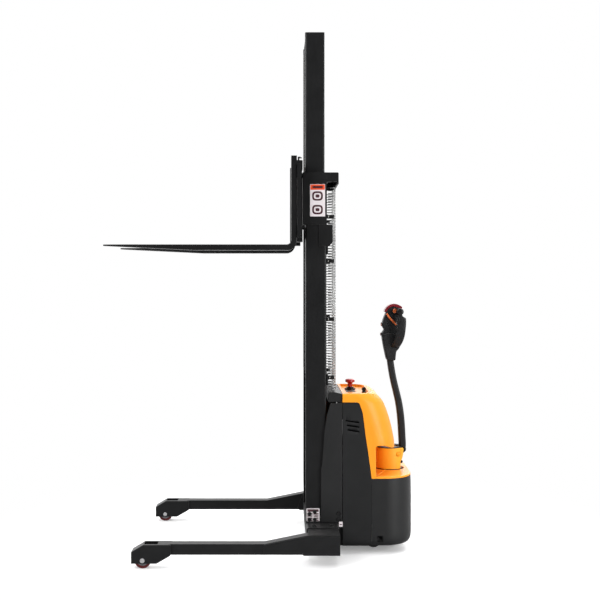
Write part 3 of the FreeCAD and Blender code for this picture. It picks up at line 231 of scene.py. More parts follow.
STEEL = (0.42, 0.41, 0.40)      # bare metal that shows at worn edges
FINISHES = {
    "frame_black": dict(
        color=(0.01, 0.0102, 0.0106), rough=0.42, spec=0.22, grain=(420, 0.00010),
        wear=(STEEL, 0.0016, 0.30), dust=((0.16, 0.155, 0.15), 0.10)),
    "mast_black": dict(
        color=(0.0072, 0.0073, 0.0076), rough=0.38, spec=0.2, grain=(300, 0.00012),
        wear=(STEEL, 0.0014, 0.22), stretch=(30, (12, 12, 0.35), 0.22)),
    "fork_black": dict(
        color=(0.0065, 0.0065, 0.0068), rough=0.34, spec=0.24, grain=(260, 0.00012),
        wear=(STEEL, 0.0022, 0.45), stretch=(26, (0.5, 9, 9), 0.25)),
    "cylinder_black": dict(
        color=(0.01, 0.01, 0.0105), rough=0.24, coat=0.3, grain=(200, 0.00008), spec=0.3),
    "zinc_steel": dict(
        color=(0.62, 0.61, 0.57), rough=0.34, metal=1.0, tint=(60, 0.18), smudge=(40, 0.2),
        grain=(700, 0.00004), wear=((0.3, 0.29, 0.27), 0.001, 0.4)),
    "bright_steel": dict(
        color=(0.66, 0.66, 0.66), rough=0.26, metal=1.0, tint=(50, 0.1),
        stretch=(90, (8, 1, 8), 0.2, 0.00003), grain=(1200, 0.00002)),
    "roller_steel": dict(
        color=(0.30, 0.30, 0.31), rough=0.36, metal=1.0, tint=(35, 0.25), smudge=(30, 0.25),
        grain=(900, 0.00004), wear=((0.6, 0.6, 0.6), 0.0012, 0.5)),
    "bearing_steel": dict(
        color=(0.42, 0.42, 0.43), rough=0.3, metal=1.0, tint=(45, 0.2), smudge=(30, 0.2),
        grain=(900, 0.00004)),
    "chain_steel": dict(
        color=(0.16, 0.15, 0.14), rough=0.36, metal=1.0, tint=(120, 0.35), smudge=(90, 0.25),
        grain=(900, 0.00005), wear=((0.5, 0.48, 0.45), 0.0008, 0.7)),
    "hub_steel": dict(
        color=(0.24, 0.24, 0.25), rough=0.45, metal=1.0, tint=(40, 0.25), smudge=(30, 0.2),
        grain=(500, 0.00010)),
    "chrome_rod": dict(
        color=(0.78, 0.78, 0.80), rough=0.09, metal=1.0, tint=(20, 0.05), smudge=(14, 0.06),
        grain=(400, 0.00001), stretch=(60, (6, 6, 0.3), 0.06)),
    "guard_zinc": dict(
        color=(0.34, 0.34, 0.335), rough=0.30, metal=0.85, tint=(90, 0.16), smudge=(70, 0.15),
        grain=(700, 0.00005)),
    "red_polyurethane": dict(
        color=(0.12, 0.008, 0.008), rough=0.36, tint=(30, 0.2), smudge=(26, 0.18),
        grain=(600, 0.00008), coat=0.05),
    "drive_tyre": dict(
        color=(0.016, 0.016, 0.0165), rough=0.6, tint=(40, 0.3), smudge=(30, 0.2),
        grain=(500, 0.00012)),
    "nylon": dict(color=(0.66, 0.64, 0.58), rough=0.4, tint=(40, 0.08), grain=(500, 0.00005)),
    "cover_grey": dict(
        color=(0.0118, 0.0121, 0.0125), rough=0.46, spec=0.22, tint=(7, 0.10), smudge=(6, 0.09),
        cells=(1100, 0.00010), grain=(2600, 0.00004), wear=((0.06, 0.06, 0.06), 0.0018, 0.25)),
    "cover_black": dict(
        color=(0.0105, 0.0107, 0.011), rough=0.42, spec=0.34, tint=(7, 0.1), smudge=(6, 0.1),
        cells=(1100, 0.00010), grain=(2600, 0.00004), wear=((0.05, 0.05, 0.05), 0.0018, 0.25)),
    "hood_orange": dict(
        color=(0.89, 0.315, 0.016), rough=0.44, spec=0.22, tint=(3.0, 0.05), smudge=(7, 0.09),
        grain=(150, 0.00005), grain2=(1300, 0.00002), coat=0.04, top_coat=0.65),
    # the hood's orange made lighter and yellower: painted light that offsets the shade in the
    # niche under the hood, where the barrel stands
    "barrel_orange": dict(
        color=(0.92, 0.415, 0.025), rough=0.42, spec=0.26, tint=(3.0, 0.05), smudge=(7, 0.09),
        grain=(150, 0.00005), grain2=(1300, 0.00002), coat=0.05),
    # near-black and almost unreflecting: painted shade for the hollow seen through the vent slots
    "vent_painted_shade": dict(
        color=(0.0022, 0.0022, 0.0023), rough=0.75, spec=0.05, tint=(30, 0.1),
        smudge=(20, 0.08), grain=(700, 0.00004)),
    "black_plastic": dict(
        color=(0.005, 0.005, 0.0053), rough=0.38, tint=(20, 0.15), smudge=(20, 0.12),
        cells=(1400, 0.00006), grain=(2600, 0.00003), spec=0.25),
    "head_plastic": dict(
        color=(0.0085, 0.0087, 0.0092), rough=0.44, tint=(20, 0.12), smudge=(24, 0.12),
        cells=(1300, 0.00010), grain=(3000, 0.00004), wear=((0.06, 0.06, 0.06), 0.0015, 0.3),
        spec=0.26),
    "red_plastic": dict(
        color=(0.4, 0.005, 0.007), rough=0.26, tint=(20, 0.1), smudge=(24, 0.1),
        grain=(900, 0.00003), coat=0.4),
    "belly_red": dict(
        color=(0.17, 0.004, 0.010), rough=0.30, tint=(20, 0.1), smudge=(24, 0.1),
        grain=(900, 0.00003), coat=0.3),
    "wing_orange": dict(
        color=(0.50, 0.105, 0.022), rough=0.30, tint=(24, 0.12), smudge=(24, 0.1),
        grain=(900, 0.00003), coat=0.2),
    "orange_plastic": dict(
        color=(0.66, 0.125, 0.012), rough=0.28, tint=(24, 0.1), smudge=(24, 0.1),
        grain=(900, 0.00003), coat=0.3),
    "arm_black": dict(
        color=(0.0105, 0.0107, 0.0112), rough=0.42, grain=(420, 0.00010),
        wear=(STEEL, 0.0014, 0.18), stretch=(30, (10, 10, 0.5), 0.2), spec=0.26),
    "battery_case": dict(
        color=(0.045, 0.046, 0.05), rough=0.5, tint=(12, 0.12), cells=(700, 0.00015),
        grain=(2000, 0.00004)),
    "pump_steel": dict(
        color=(0.03, 0.03, 0.033), rough=0.35, tint=(16, 0.15), grain=(260, 0.00012), coat=0.2),
    "controller_alloy": dict(
        color=(0.5, 0.51, 0.52), rough=0.42, metal=1.0, tint=(30, 0.1),
        stretch=(60, (1, 12, 12), 0.2, 0.00004), grain=(800, 0.00006)),
    "hose_rubber": dict(
        color=(0.009, 0.009, 0.009), rough=0.55, tint=(60, 0.2), cells=(600, 0.0003),
        grain=(1500, 0.00008)),
    "gearbox_iron": dict(
        color=(0.05, 0.05, 0.053), rough=0.55, metal=0.4, tint=(22, 0.2),
        grain=(330, 0.00035), grain2=(90, 0.0003)),
    "motor_black": dict(
        color=(0.028, 0.028, 0.03), rough=0.42, tint=(20, 0.15), grain=(330, 0.0002)),
    "decal_white": dict(
        color=(0.74, 0.685, 0.70), rough=0.30, tint=(60, 0.03), smudge=(40, 0.08),
        grain=(800, 0.00003), coat=0.4),
    "decal_red": dict(
        color=(0.72, 0.075, 0.02), rough=0.30, tint=(60, 0.05), smudge=(40, 0.08),
        grain=(800, 0.00003), coat=0.4),
    "decal_dark": dict(
        color=(0.05, 0.012, 0.018), rough=0.30, tint=(60, 0.05), smudge=(40, 0.08),
        grain=(800, 0.00003), coat=0.4),
    "weld": dict(
        color=(0.0125, 0.0125, 0.013), rough=0.42, tint=(60, 0.3), grain=(240, 0.0005),
        grain2=(700, 0.0002)),
    "glass_dark": dict(
        color=(0.02, 0.03, 0.03), rough=0.08, tint=(20, 0.1), smudge=(30, 0.05),
        grain=(500, 0.00001), coat=0.8),
}
MATERIALS = {name: finish(name, **values) for name, values in FINISHES.items()}


# ---------------------------------------------------------------- objects and modifiers
def clean(mesh, weld=0.0, open_shell=False):
    """Welds close points, then drops slivers (open shells) or turns the faces outward."""
    bm = bmesh.new()
    bm.from_mesh(mesh)
    if weld:
        bmesh.ops.remove_doubles(bm, verts=bm.verts, dist=weld)
    if open_shell:
        bmesh.ops.dissolve_degenerate(bm, edges=bm.edges, dist=1e-6)
    else:
        bmesh.ops.recalc_face_normals(bm, faces=bm.faces)
    bm.to_mesh(mesh)
    bm.free()


def shade(mesh, smooth=True):
    for face in mesh.polygons:
        face.use_smooth = smooth


def add_object(name, data):
    ob = bpy.data.objects.new(name, data)
    bpy.context.scene.collection.objects.link(ob)
    return ob


def make(name, verts, faces, slot=None, open_shell=False):
    """Smooth-shaded object from points in mm."""
    mesh = bpy.data.meshes.new(name)
    mesh.from_pydata([point(*v) for v in verts], [], faces)
    clean(mesh, 2e-5 if open_shell else 1e-6, open_shell)
    shade(mesh)
    if slot:
        mesh.materials.append(MATERIALS[slot])
    return add_object(name, mesh)


class Parts:
    """Collects several solids, in mm, into one mesh with a material index per face."""

    def __init__(self):
        self.verts, self.faces, self.indices = [], [], []

    def add(self, solid, index=0):
        verts, faces = solid
        base = len(self.verts)
        self.verts += list(verts)
        self.faces += [tuple(i + base for i in face) for face in faces]
        self.indices += [index] * len(faces)

    def build(self, name, slots, smooth=False):
        mesh = bpy.data.meshes.new(name)
        mesh.from_pydata([point(*v) for v in self.verts], [], self.faces)
        for slot in slots:
            mesh.materials.append(MATERIALS[slot])
        for face, index in zip(mesh.polygons, self.indices):
            face.material_index = index
            face.use_smooth = smooth
        clean(mesh)
        return add_object(name, mesh)


def attach(ob, body, replaced=None):
    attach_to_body(ob, body)
    if replaced:
        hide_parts(replaced)


def weight_normals(ob):
    modifier = ob.modifiers.new("normals", "WEIGHTED_NORMAL")
    modifier.keep_sharp = True
    return modifier


def bevel(ob, width, segments, angle):
    """Rounds edges sharper than angle (degrees) by width (mm)."""
    modifier = ob.modifiers.new("edge", "BEVEL")
    modifier.width = width * MM
    modifier.segments = segments
    modifier.limit_method = "ANGLE"
    modifier.angle_limit = math.radians(angle)
    modifier.use_clamp_overlap = True
    modifier.miter_outer = "MITER_ARC"
    weight_normals(ob).weight = 60


def solidify(ob, thickness):
    modifier = ob.modifiers.new("wall", "SOLIDIFY")
    modifier.thickness = thickness * MM
    modifier.offset = -1.0
    modifier.use_even_offset = False


def bake(ob):
    """Applies every modifier."""
    bpy.context.view_layer.update()
    depsgraph = bpy.context.evaluated_depsgraph_get()
    mesh = bpy.data.meshes.new_from_object(ob.evaluated_get(depsgraph))
    ob.modifiers.clear()
    old = ob.data
    ob.data = mesh
    bpy.data.meshes.remove(old)


def cut(ob, solid):
    """Takes a solid out of the object."""
    cutter = make("cutter", *solid)
    modifier = ob.modifiers.new("cut", "BOOLEAN")
    modifier.operation = "DIFFERENCE"
    modifier.solver = "EXACT"
    modifier.object = cutter
    bake(ob)
    bpy.data.objects.remove(cutter)


# ---------------------------------------------------------------- curves and outlines
def smooth01(t):
    t = max(0.0, min(1.0, t))
    return t * t * (3 - 2 * t)


def between(start, end, t):
    return tuple(a + (b - a) * t for a, b in zip(start, end))


def polyline_at(table, z, eased_below=0.0):
    """Value at z in a table of (z, value), held at both ends.

    Spans that start below eased_below run as an S-curve, the others straight.
    """
    if z <= table[0][0]:
        return table[0][1]
    for (z0, a), (z1, b) in zip(table, table[1:]):
        if z <= z1:
            t = (z - z0) / (z1 - z0)
            return a + (b - a) * (smooth01(t) if z0 < eased_below else t)
    return table[-1][1]


def smooth_at(table, z):
    """Monotone cubic interpolation of a table of (z, value), held at both ends."""
    last = len(table) - 1
    if z <= table[0][0]:
        return table[0][1]
    if z >= table[last][0]:
        return table[last][1]

    def slope(i):
        return (table[i + 1][1] - table[i][1]) / (table[i + 1][0] - table[i][0])

    def tangent(i):
        if i == 0:
            return slope(0)
        if i == last:
            return slope(last - 1)
        a, b = slope(i - 1), slope(i)
        return 0.0 if a * b <= 0 else 2 * a * b / (a + b)

    k = max(i for i in range(last) if table[i][0] <= z)
    (z0, a), (z1, b) = table[k], table[k + 1]
    h = z1 - z0
    t = (z - z0) / h
    return ((2 * t**3 - 3 * t**2 + 1) * a + (t**3 - 2 * t**2 + t) * tangent(k) * h
            + (-2 * t**3 + 3 * t**2) * b + (t**3 - t**2) * tangent(k + 1) * h)


def catmull(rows, steps):
    """Smooth curve through rows of equal length; steps is one count or one per span."""
    out = []
    last = len(rows) - 1
    for i in range(last):
        quad = rows[max(i - 1, 0)], rows[i], rows[i + 1], rows[min(i + 2, last)]
        count = steps[i] if isinstance(steps, list) else steps
        for s in range(count):
            t = s / count
            out.append(tuple(
                0.5 * ((2 * b) + (-a + c) * t + (2 * a - 5 * b + 4 * c - d) * t * t
                       + (-a + 3 * b - 3 * c + d) * t**3)
                for a, b, c, d in zip(*quad)))
    out.append(tuple(rows[-1]))
    return out


def rounded_corner(before, at, after, radius, steps, share):
    """Points that round one corner, using at most a share of each neighbouring edge."""
    before, at, after = Vector(before), Vector(at), Vector(after)
    back, ahead = before - at, after - at
    reach = min(radius, back.length * share, ahead.length * share)
    if reach < 0.05:
        return [tuple(at)]
    start, end = at + back.normalized() * reach, at + ahead.normalized() * reach
    return [tuple((1 - t) ** 2 * start + 2 * t * (1 - t) * at + t * t * end)
            for t in (s / steps for s in range(steps + 1))]


def round_line(points, radius, steps):
    """Rounds the corners of an open polyline in two or three dimensions."""
    out = [points[0]]
    for before, at, after in zip(points, points[1:], points[2:]):
        out += rounded_corner(before, at, after, radius, steps, 0.45)
    return out + [points[-1]]


def round_poly(points, radius, steps=4):
    """Rounds a closed outline; radius is one value or one per corner."""
    count = len(points)
    out = []
    for i in range(count):
        r = radius[i] if isinstance(radius, list) else radius
        out += rounded_corner(points[i - 1], points[i], points[(i + 1) % count], r, steps, 0.48)
    return out


def rect(x0, x1, z0, z1):
    return [(x0, z0), (x1, z0), (x1, z1), (x0, z1)]


def ellipse(a0, b0, radius_a, radius_b, count):
    angles = [math.radians(360 / count * i) for i in range(count)]
    return [(a0 + radius_a * math.cos(t), b0 + radius_b * math.sin(t)) for t in angles]


def hexagon(a0, b0, radius):
    return ellipse(a0, b0, radius, radius, 6)


# ---------------------------------------------------------------- solids: (vertices, faces)
def place(plane, a, b, height):
    """Point (a, b) of the plane, lifted by height along the third axis."""
    return {"xz": (a, height, b), "xy": (a, b, height), "yz": (height, a, b)}[plane]


def span_y(sign, near, far):
    """Y limits, low first, of a piece on one side of the truck."""
    return sorted((sign * near, sign * far))


def sheet(rows, closed=False):
    """Quads between rows of equal length; closed joins each row's ends."""
    n = len(rows[0])
    faces = []
    for i in range(len(rows) - 1):
        for j in range(n if closed else n - 1):
            a, b = i * n + j, i * n + (j + 1) % n
            faces.append((a, b, b + n, a + n))
    return [p for row in rows for p in row], faces


def loft(rows):
    """Closed rings joined in order and capped at both ends."""
    verts, faces = sheet(rows, closed=True)
    n = len(rows[0])
    return verts, faces + [tuple(range(n))[::-1], tuple(range(len(verts) - n, len(verts)))]


def prism(outline, plane, low, high):
    n = len(outline)
    verts = [place(plane, a, b, h) for h in (low, high) for a, b in outline]
    faces = [tuple(range(n))[::-1], tuple(range(n, 2 * n))]
    faces += [(i, (i + 1) % n, n + (i + 1) % n, n + i) for i in range(n)]
    return verts, faces


def lathe(profile, plane, a0, b0, segments, rise=0.0):
    """Turns (radius, height) pairs about the normal of the plane at (a0, b0)."""
    angles = [2 * math.pi * k / segments for k in range(segments)]
    return loft([[place(plane, a0 + r * math.cos(t), b0 + r * math.sin(t), rise + h)
                  for t in angles] for r, h in profile])


def tube(points, radius, sides=8):
    """Round bar along points."""
    points = [Vector(p) for p in points]
    first = (points[1] - points[0]).normalized()
    up = Vector((0, 0, 1)) if abs(first.z) < 0.9 else Vector((1, 0, 0))
    u = first.cross(up).normalized()
    rows = []
    for i, p in enumerate(points):
        along = (points[min(i + 1, len(points) - 1)] - points[max(i - 1, 0)]).normalized()
        u = (u - along * u.dot(along)).normalized()
        v = along.cross(u)
        angles = [2 * math.pi * k / sides for k in range(sides)]
        rows.append([tuple(p + (u * math.cos(t) + v * math.sin(t)) * radius) for t in angles])
    return loft(rows)


def merge(pieces):
    verts, faces = [], []
    for piece_verts, piece_faces in pieces:
        base = len(verts)
        verts += piece_verts
        faces += [tuple(i + base for i in face) for face in piece_faces]
    return verts, faces


def mirror_y(solid):
    verts, faces = solid
    return [(x, -y, z) for x, y, z in verts], [tuple(reversed(face)) for face in faces]


def both_halves(solid):
    return merge([solid, mirror_y(solid)])


def soft_prism(name, outline, span, slot, rim, steps=4, fine=0.5):
    """XZ outline extruded over a span of Y, with well-rounded rims."""
    ob = make(name, *prism(outline, "xz", *span), slot)
    bevel(ob, rim, steps, 60)
    bake(ob)
    bevel(ob, fine, 1, 50)
    return ob


# ---------------------------------------------------------------- pieces that keep their CAD mesh
EDGE_WIDTHS = {     # mm
    "chassis_frame": 1.2, "outer_mast": 1.3, "inner_mast": 1.2, "fork_carriage": 1.5,
    "fork_left": 1.8, "fork_right": 1.8, "straddle_leg_left": 1.3, "straddle_leg_right": 1.3,
    "battery_shrouds": 1.6, "hood_front_bezel": 1.4, "tiller_base_trim": 1.2,
    "frame_bolts": 0.8, "battery_pack": 2.0, "hydraulic_power_pack": 1.2,
    "motor_controller": 0.7, "drive_gearbox": 1.5, "drive_motor": 0.5, "mast_wear_pads": 0.8,
    "slew_bearing_ring": 0.5, "instrument_tray": 1.0, "caster_fork_left": 0.8,
    "caster_fork_right": 0.8, "lift_cylinder_barrels": 0.8, "switch_collars_and_gauge": 0.8,
}


def paint(ob, slot):
    """Gives every material slot of a mesh one finish."""
    if ob.type != "MESH":
        return
    if len(ob.data.materials) == 0:
        ob.data.materials.append(MATERIALS[slot])
    else:
        for material_slot in ob.material_slots:
            material_slot.material = MATERIALS[slot]


def round_cad_edges(ob, width):
    weld = ob.modifiers.new("weld", "WELD")
    weld.merge_threshold = 0.00002
    planar = ob.modifiers.new("planar", "DECIMATE")
    planar.decimate_type = "DISSOLVE"
    planar.angle_limit = math.radians(0.4)
    bevel(ob, width, 2, 34)


cad_slots = {part["node"]: part["material_slot"] for part in frame["record"]["subparts"]}
for node, ob in NODES.items():
    paint(ob, cad_slots[node])
for node, width in EDGE_WIDTHS.items():
    round_cad_edges(NODES[node], width)

# ---------------------------------------------------------------- body covers: shared shape
COVER_WALL = 3.2
COVER_FRONT_X = 386.0
HALF_WIDTH = 320.0
HOOD_FOOT_Z = 467.0         # lowest edge of the hood
# Seam between side cover and hood: (z, x).
SEAM = [(467, 564), (469, 564), (621, 544), (736, 527), (868, 511), (930, 490), (936, 478)]
DISH_X = 668.0              # the middle of the hood's back is pulled in towards this X
DISH_HALF = 150.0           # half width of the dish, and of its flat middle
DISH_FLAT = 102.0


def low_z(z):
    """Squeezes levels from 34 to 120 into 46 to 120, for the covers' lower rims."""
    return 46 + (z - 34) * 74 / 86 if z < 120 else z


def wrap_row(level, seam, side_steps, angles, dished):
    """One level of the left half, from the side seam round to the middle of the back."""
    z, back, half, radius = level
    corner_x, straight = back - radius, half - radius
    row = [(seam + (corner_x - seam) * i / side_steps, -half, z) for i in range(side_steps)]
    row += [(corner_x + radius * math.sin(a), -straight - radius * math.cos(a), z)
            for a in angles]
    depth = 0.0
    if dished:
        ys = [straight + (DISH_HALF - straight) * i / 4 for i in range(4)]
        ys += [DISH_HALF - (DISH_HALF - DISH_FLAT) * i / 16 for i in range(16)]
        ys += [DISH_FLAT - DISH_FLAT * i / 6 for i in range(7)]
        beyond = back - DISH_X
        depth = 0.5 * (beyond + math.sqrt(beyond * beyond + 100))
        depth *= smooth01((beyond + 25) / 20)
    else:
        ys = [straight * (1 - i / 26) for i in range(27)]
    return row + [(back - depth * smooth01((DISH_HALF - y) / 46), -y, z) for y in ys]


# ---------------------------------------------------------------- hood
# Levels of the wrap: z, back x, half width, rear corner radius; and steps per span.
HOOD_LEVELS = [
    (646, 718, 318, 130), (690, 715, 317.6, 134), (740, 706.5, 317, 139),
    (810, 690, 316, 140), (880, 667.5, 314.4, 138), (925, 648, 313, 136),
    (936, 641, 312.3, 134), (953, 627, 310.6, 131), (968, 609.5, 308.2, 127),
    (979, 594, 305, 122.5), (985.5, 581, 301.5, 118.5), (988, 572, 297, 114)]
HOOD_STEPS = [5, 6, 7, 7, 6, 2, 3, 3, 3, 3, 3]
# Rim that turns down into the tray opening, same columns.
TRAY_RIM = [(988, 567, 290.5, 108.5), (988, 561.5, 285.2, 103.2),
            (987.6, 560.8, 284.6, 102.6), (985, 560.5, 284.4, 102.4)]
HOOD_ROWS = catmull(HOOD_LEVELS, HOOD_STEPS) + TRAY_RIM
HOOD_ANGLES = [math.radians(a) for a in
               [0.0, 0.4, 1.0, 2.0, 3.1, 4.4, 5.9, 7.66, 9.6, 12.0]
               + [12.0 + 78.0 * i / 22 for i in range(1, 22)]]
HOOD_TOP_Z = 988.0
SIDE_STEPS = 12             # columns along the side; the rear corner starts at this column

NICHE_X = 588.0             # the side ends here and the niche over the shelf begins
NICHE_TOP_Z = 646.0
NICHE_WALL_X = 591.0
NICHE_CORNER = ((588.0, 0.0), (589.2, 0.35), (590.3, 1.3), (591.0, 3.0))  # x, inset in Y
ARCH_RISE = 24.0            # the lower edge lifts this far behind the side
ARCH_RUN = 20.0
PULL_TOP_Z = 740.0          # rows up to here make room for the arch
EDGE_ROLL = ((1.0, 1.3), (2.6, 2.6), (5.0, 3.4))    # inward, down
LIP_Z = NICHE_TOP_Z - EDGE_ROLL[-1][1]

SHELF_Z = 478.5
SHELF_BACK_X = 824.0
SHELF_RADIUS = 176.0
SHELF_EDGE = ((474.5, 0.7), (477.0, 2.4), (SHELF_Z, 5.5))       # z, inset
STRIP_Z = [HOOD_FOOT_Z, 471.0, 474.5, 477.0, SHELF_Z, 500.0, 525.0, 550.0, 575.0, 600.0,
           621.0, 634.0, *(NICHE_TOP_Z - drop for _, drop in reversed(EDGE_ROLL)), NICHE_TOP_Z]
TURN_X = 706.0              # vertical axis of the drive unit
OPENING_RADIUS = 95.0

# Columns of the hood's forward part, the first four of which also form the front bar.
FORWARD_X = [386.0, 389.0, 392.5, 395.5, 397.0, 400.0, 406.0, 424.0, 442.0, 460.0, 478.0]
BAR_X = 395.5
TRAY_HALF = 274.0           # half width of the tray opening at the bar
TRAY_CORNER_X = 406.0
TRAY_CORNER_RADIUS = 10.5
RIM_WIDENING = (0.0, 0.2, 0.8)      # of the last three rows, counted from the end
FIXED_X, FORWARD_END_X = 424.0, 478.0   # columns between these shrink to meet the wrap


def lower_edge(x):
    """Height of the hood's lower edge over the niche."""
    if x <= NICHE_X + 0.05:
        return NICHE_TOP_Z
    if x < NICHE_X + ARCH_RUN:
        return NICHE_TOP_Z + ARCH_RISE * math.sqrt(1 - (1 - (x - NICHE_X) / ARCH_RUN) ** 2)
    return NICHE_TOP_Z + ARCH_RISE - ARCH_RISE * smooth01((x - 640) / 76)


def strip_half(z):
    """Half width of the hood below the niche top."""
    return HALF_WIDTH - (z - HOOD_FOOT_Z) / (NICHE_TOP_Z - HOOD_FOOT_Z) * 2.0


def hood_wrap():
    """Rows of the sides and back, slid up so the lower edge arches over the niche."""
    grid = [wrap_row(level, min(polyline_at(SEAM, level[0]), level[1] - level[3]), SIDE_STEPS,
                     HOOD_ANGLES, dished=True) for level in HOOD_ROWS]
    low = [list(row) for row in grid if row[0][2] <= PULL_TOP_Z + 0.01]
    for j in range(SIDE_STEPS, len(grid[0])):
        edge = lower_edge(low[0][j][0])
        share = (PULL_TOP_Z - edge) / (PULL_TOP_Z - NICHE_TOP_Z)
        for i in range(len(low)):
            z = edge + (low[i][j][2] - NICHE_TOP_Z) * share
            k = max(m for m in range(len(low)) if low[m][j][2] <= z + 1e-9)
            k = min(k, len(low) - 2)
            a, b = low[k][j], low[k + 1][j]
            grid[i][j] = between(a, b, (z - a[2]) / (b[2] - a[2]))
    return grid


def niche_ceiling(edge):
    """Rows from the niche wall out to the hood's lower edge, which rolls under."""
    last = len(edge) - 1
    columns = last + 1 - SIDE_STEPS
    roll = []
    for inward, down in EDGE_ROLL:
        row = []
        for j in range(SIDE_STEPS, last + 1):
            x, y, z = edge[j]
            reach = inward * min(1.0, (j - SIDE_STEPS) / 2.0)
            ahead, behind = edge[min(j + 1, last)], edge[j - 1]
            along = Vector((ahead[0] - behind[0], ahead[1] - behind[1])).normalized()
            y = y + along.x * reach if j < last else 0.0
            row.append((x - along.y * reach, y, z - down))
        roll.append(row)
    wall = [(NICHE_WALL_X, -314 + 314 * (j / (columns - 1)), 666.6) for j in range(columns)]
    middle = [[between(a, b, t) for a, b in zip(wall, roll[-1])] for t in (0.25, 0.5, 0.75)]
    return [wall] + middle + roll[::-1] + [edge[SIDE_STEPS:]]


def hood_forward():
    """Rows beside the tray, from the seam level up and in to the opening."""
    levels = [level for level in HOOD_ROWS if level[0] >= 935.99]
    rows = []
    for i, (z, back, half, radius) in enumerate(levels):
        from_end = len(levels) - 1 - i
        x_end = min(FORWARD_END_X, back - radius)
        row = []
        for x in FORWARD_X:
            y, height = -half, z
            if from_end < len(RIM_WIDENING):
                opening = TRAY_HALF
                if x > BAR_X:
                    short = max(0.0, TRAY_CORNER_X - x)
                    opening += math.sqrt(max(0.0, TRAY_CORNER_RADIUS**2 - short**2))
                y = -min(half, opening + RIM_WIDENING[from_end])
                if x < BAR_X:
                    height = HOOD_TOP_Z
            if x > FIXED_X:
                x = FIXED_X + (x - FIXED_X) * (x_end - FIXED_X) / (FORWARD_END_X - FIXED_X)
            row.append((x, y, height))
        rows.append(row)
    return rows


def front_bar():
    ys = [-TRAY_HALF + TRAY_HALF * i / 12 for i in range(13)]
    return [[(x, y, HOOD_TOP_Z) for x in FORWARD_X[:4]] for y in ys]


def side_strip():
    """Strip between the seam and the niche, down to the shelf."""
    rows = []
    for z in STRIP_Z:
        seam = polyline_at(SEAM, z)
        rows.append([(seam + (NICHE_X - seam) * i / SIDE_STEPS, -strip_half(z), z)
                     for i in range(SIDE_STEPS + 1)])
    return rows


def niche_wall():
    rows = []
    for z in STRIP_Z:
        if SHELF_Z <= z <= LIP_Z:
            half = strip_half(z)
            row = [(x, -half + inset, z) for x, inset in NICHE_CORNER]
            row += [(NICHE_WALL_X, -half + 3.0 + (half - 3.0) * i / 20, z)
                    for i in range(1, 21)]
            rows.append(row)
    return rows


def toward_opening(row, t):
    """Moves shelf points a share t of the way to the round opening."""
    out = []
    for p in row:
        on_axis = abs(p[1]) <= 1e-6
        angle = math.atan2(-1e-9 if on_axis else p[1], p[0] - TURN_X)
        y = 0.0 if on_axis else OPENING_RADIUS * math.sin(angle)
        out.append(between(p, (TURN_X + OPENING_RADIUS * math.cos(angle), y, SHELF_Z), t))
    return out


def shelf_row(z, inset=0.0):
    back, half, radius = SHELF_BACK_X - inset, HALF_WIDTH - inset, SHELF_RADIUS - inset
    corner_x, straight = back - radius, half - radius
    row = [(NICHE_X + (corner_x - NICHE_X) * i / 8, -half, z) for i in range(8)]
    row += [(corner_x + radius * math.sin(a), -straight - radius * math.cos(a), z)
            for a in (math.pi / 2 * i / 28 for i in range(28))]
    row += [(back, -straight * (1 - i / 12), z) for i in range(13)]
    if inset:
        row[0] = (NICHE_X, -strip_half(z), z)
    return row


def shelf():
    """Band, rolled edge and flat top as far as the round opening."""
    rows = [shelf_row(HOOD_FOOT_Z), shelf_row(471.0)]
    rows += [shelf_row(z, inset) for z, inset in SHELF_EDGE]
    outer = rows[-1]
    return rows + [toward_opening(outer, t) for t in (0.12, 0.4, 0.7, 1.0)]


def opening_lip():
    angles = [math.pi * 2 * k / 96 for k in range(97)]
    profile = ((OPENING_RADIUS, SHELF_Z), (94.3, SHELF_Z - 0.8), (94.0, SHELF_Z - 2.4),
               (94.0, SHELF_Z - 9.0))
    return [[(TURN_X + r * math.cos(a), r * math.sin(a), z) for a in angles]
            for r, z in profile]


def build_hood():
    wrap = hood_wrap()
    wall = niche_wall()
    upper_wall = [[(x, y, z) for x, y, _ in wall[-1][3:]] for z in (LIP_Z, 654.0, 662.0, 668.0)]
    wall_foot = wall[0][::-1]
    shelf_root = [wall_foot] + [toward_opening(wall_foot, t) for t in (0.4, 1.0)]
    half = merge([sheet(rows) for rows in (
        wrap, niche_ceiling(wrap[0]), hood_forward(), front_bar(), side_strip(), wall,
        upper_wall, shelf(), shelf_root)])
    whole = merge([both_halves(half), sheet(opening_lip())])
    hood = make("hood", *whole, "hood_orange", open_shell=True)
    solidify(hood, COVER_WALL)
    bevel(hood, 0.7, 2, 50)
    attach(hood, "chassis", "hood_cover")


build_hood()

# ---------------------------------------------------------------- side and rear covers
# Side cover profile: z before low_z, half width.
SIDE_PROFILE = [(low_z(z), half) for z, half in [
    (34, 288), (38, 297), (44, 305), (54, 312.5), (72, 317.6), (96, 319.6), (130, 320),
    (300, 320), (467, 320), (560, 319), (646, 318), (740, 317), (840, 315), (934, 312.6)]]
SIDE_Z = [low_z(z) for z in [
    34, 36, 38, 41, 44, 48, 54, 62, 72, 84, 100, 130, 180, 240, 300, 360, 420, 467, 500, 540,
    580, 621, 660, 700, 736, 780, 824, 868, 900, 925, 930, 934]]
# Slanted slots, centre line of each: x, z at one end and at the other.
VENT_SLOTS = [(403, 824, 489, 811), (411, 795, 489, 783), (415, 767, 489, 755)]
# Rear cover: z before low_z, back x, half width, corner radius; and steps per span.
REAR_LEVELS = [(low_z(level[0]), *level[1:]) for level in [
    (34, 792, 280, 142), (37, 800, 289, 151), (42, 808, 298, 158), (50, 815, 306, 166),
    (62, 821, 313, 172), (80, 825.5, 317.6, 176), (104, 827.5, 319.6, 177.6),
    (130, 828, 320, 178), (220, 828, 320, 178), (320, 828, 320, 178),
    (400, 826.5, 320, 177.5), (464.5, 824, 320, 176)]]
REAR_STEPS = [2, 2, 2, 3, 3, 3, 3, 5, 5, 4, 4]
REAR_ANGLES = [math.pi / 2 * i / 34 for i in range(34)]


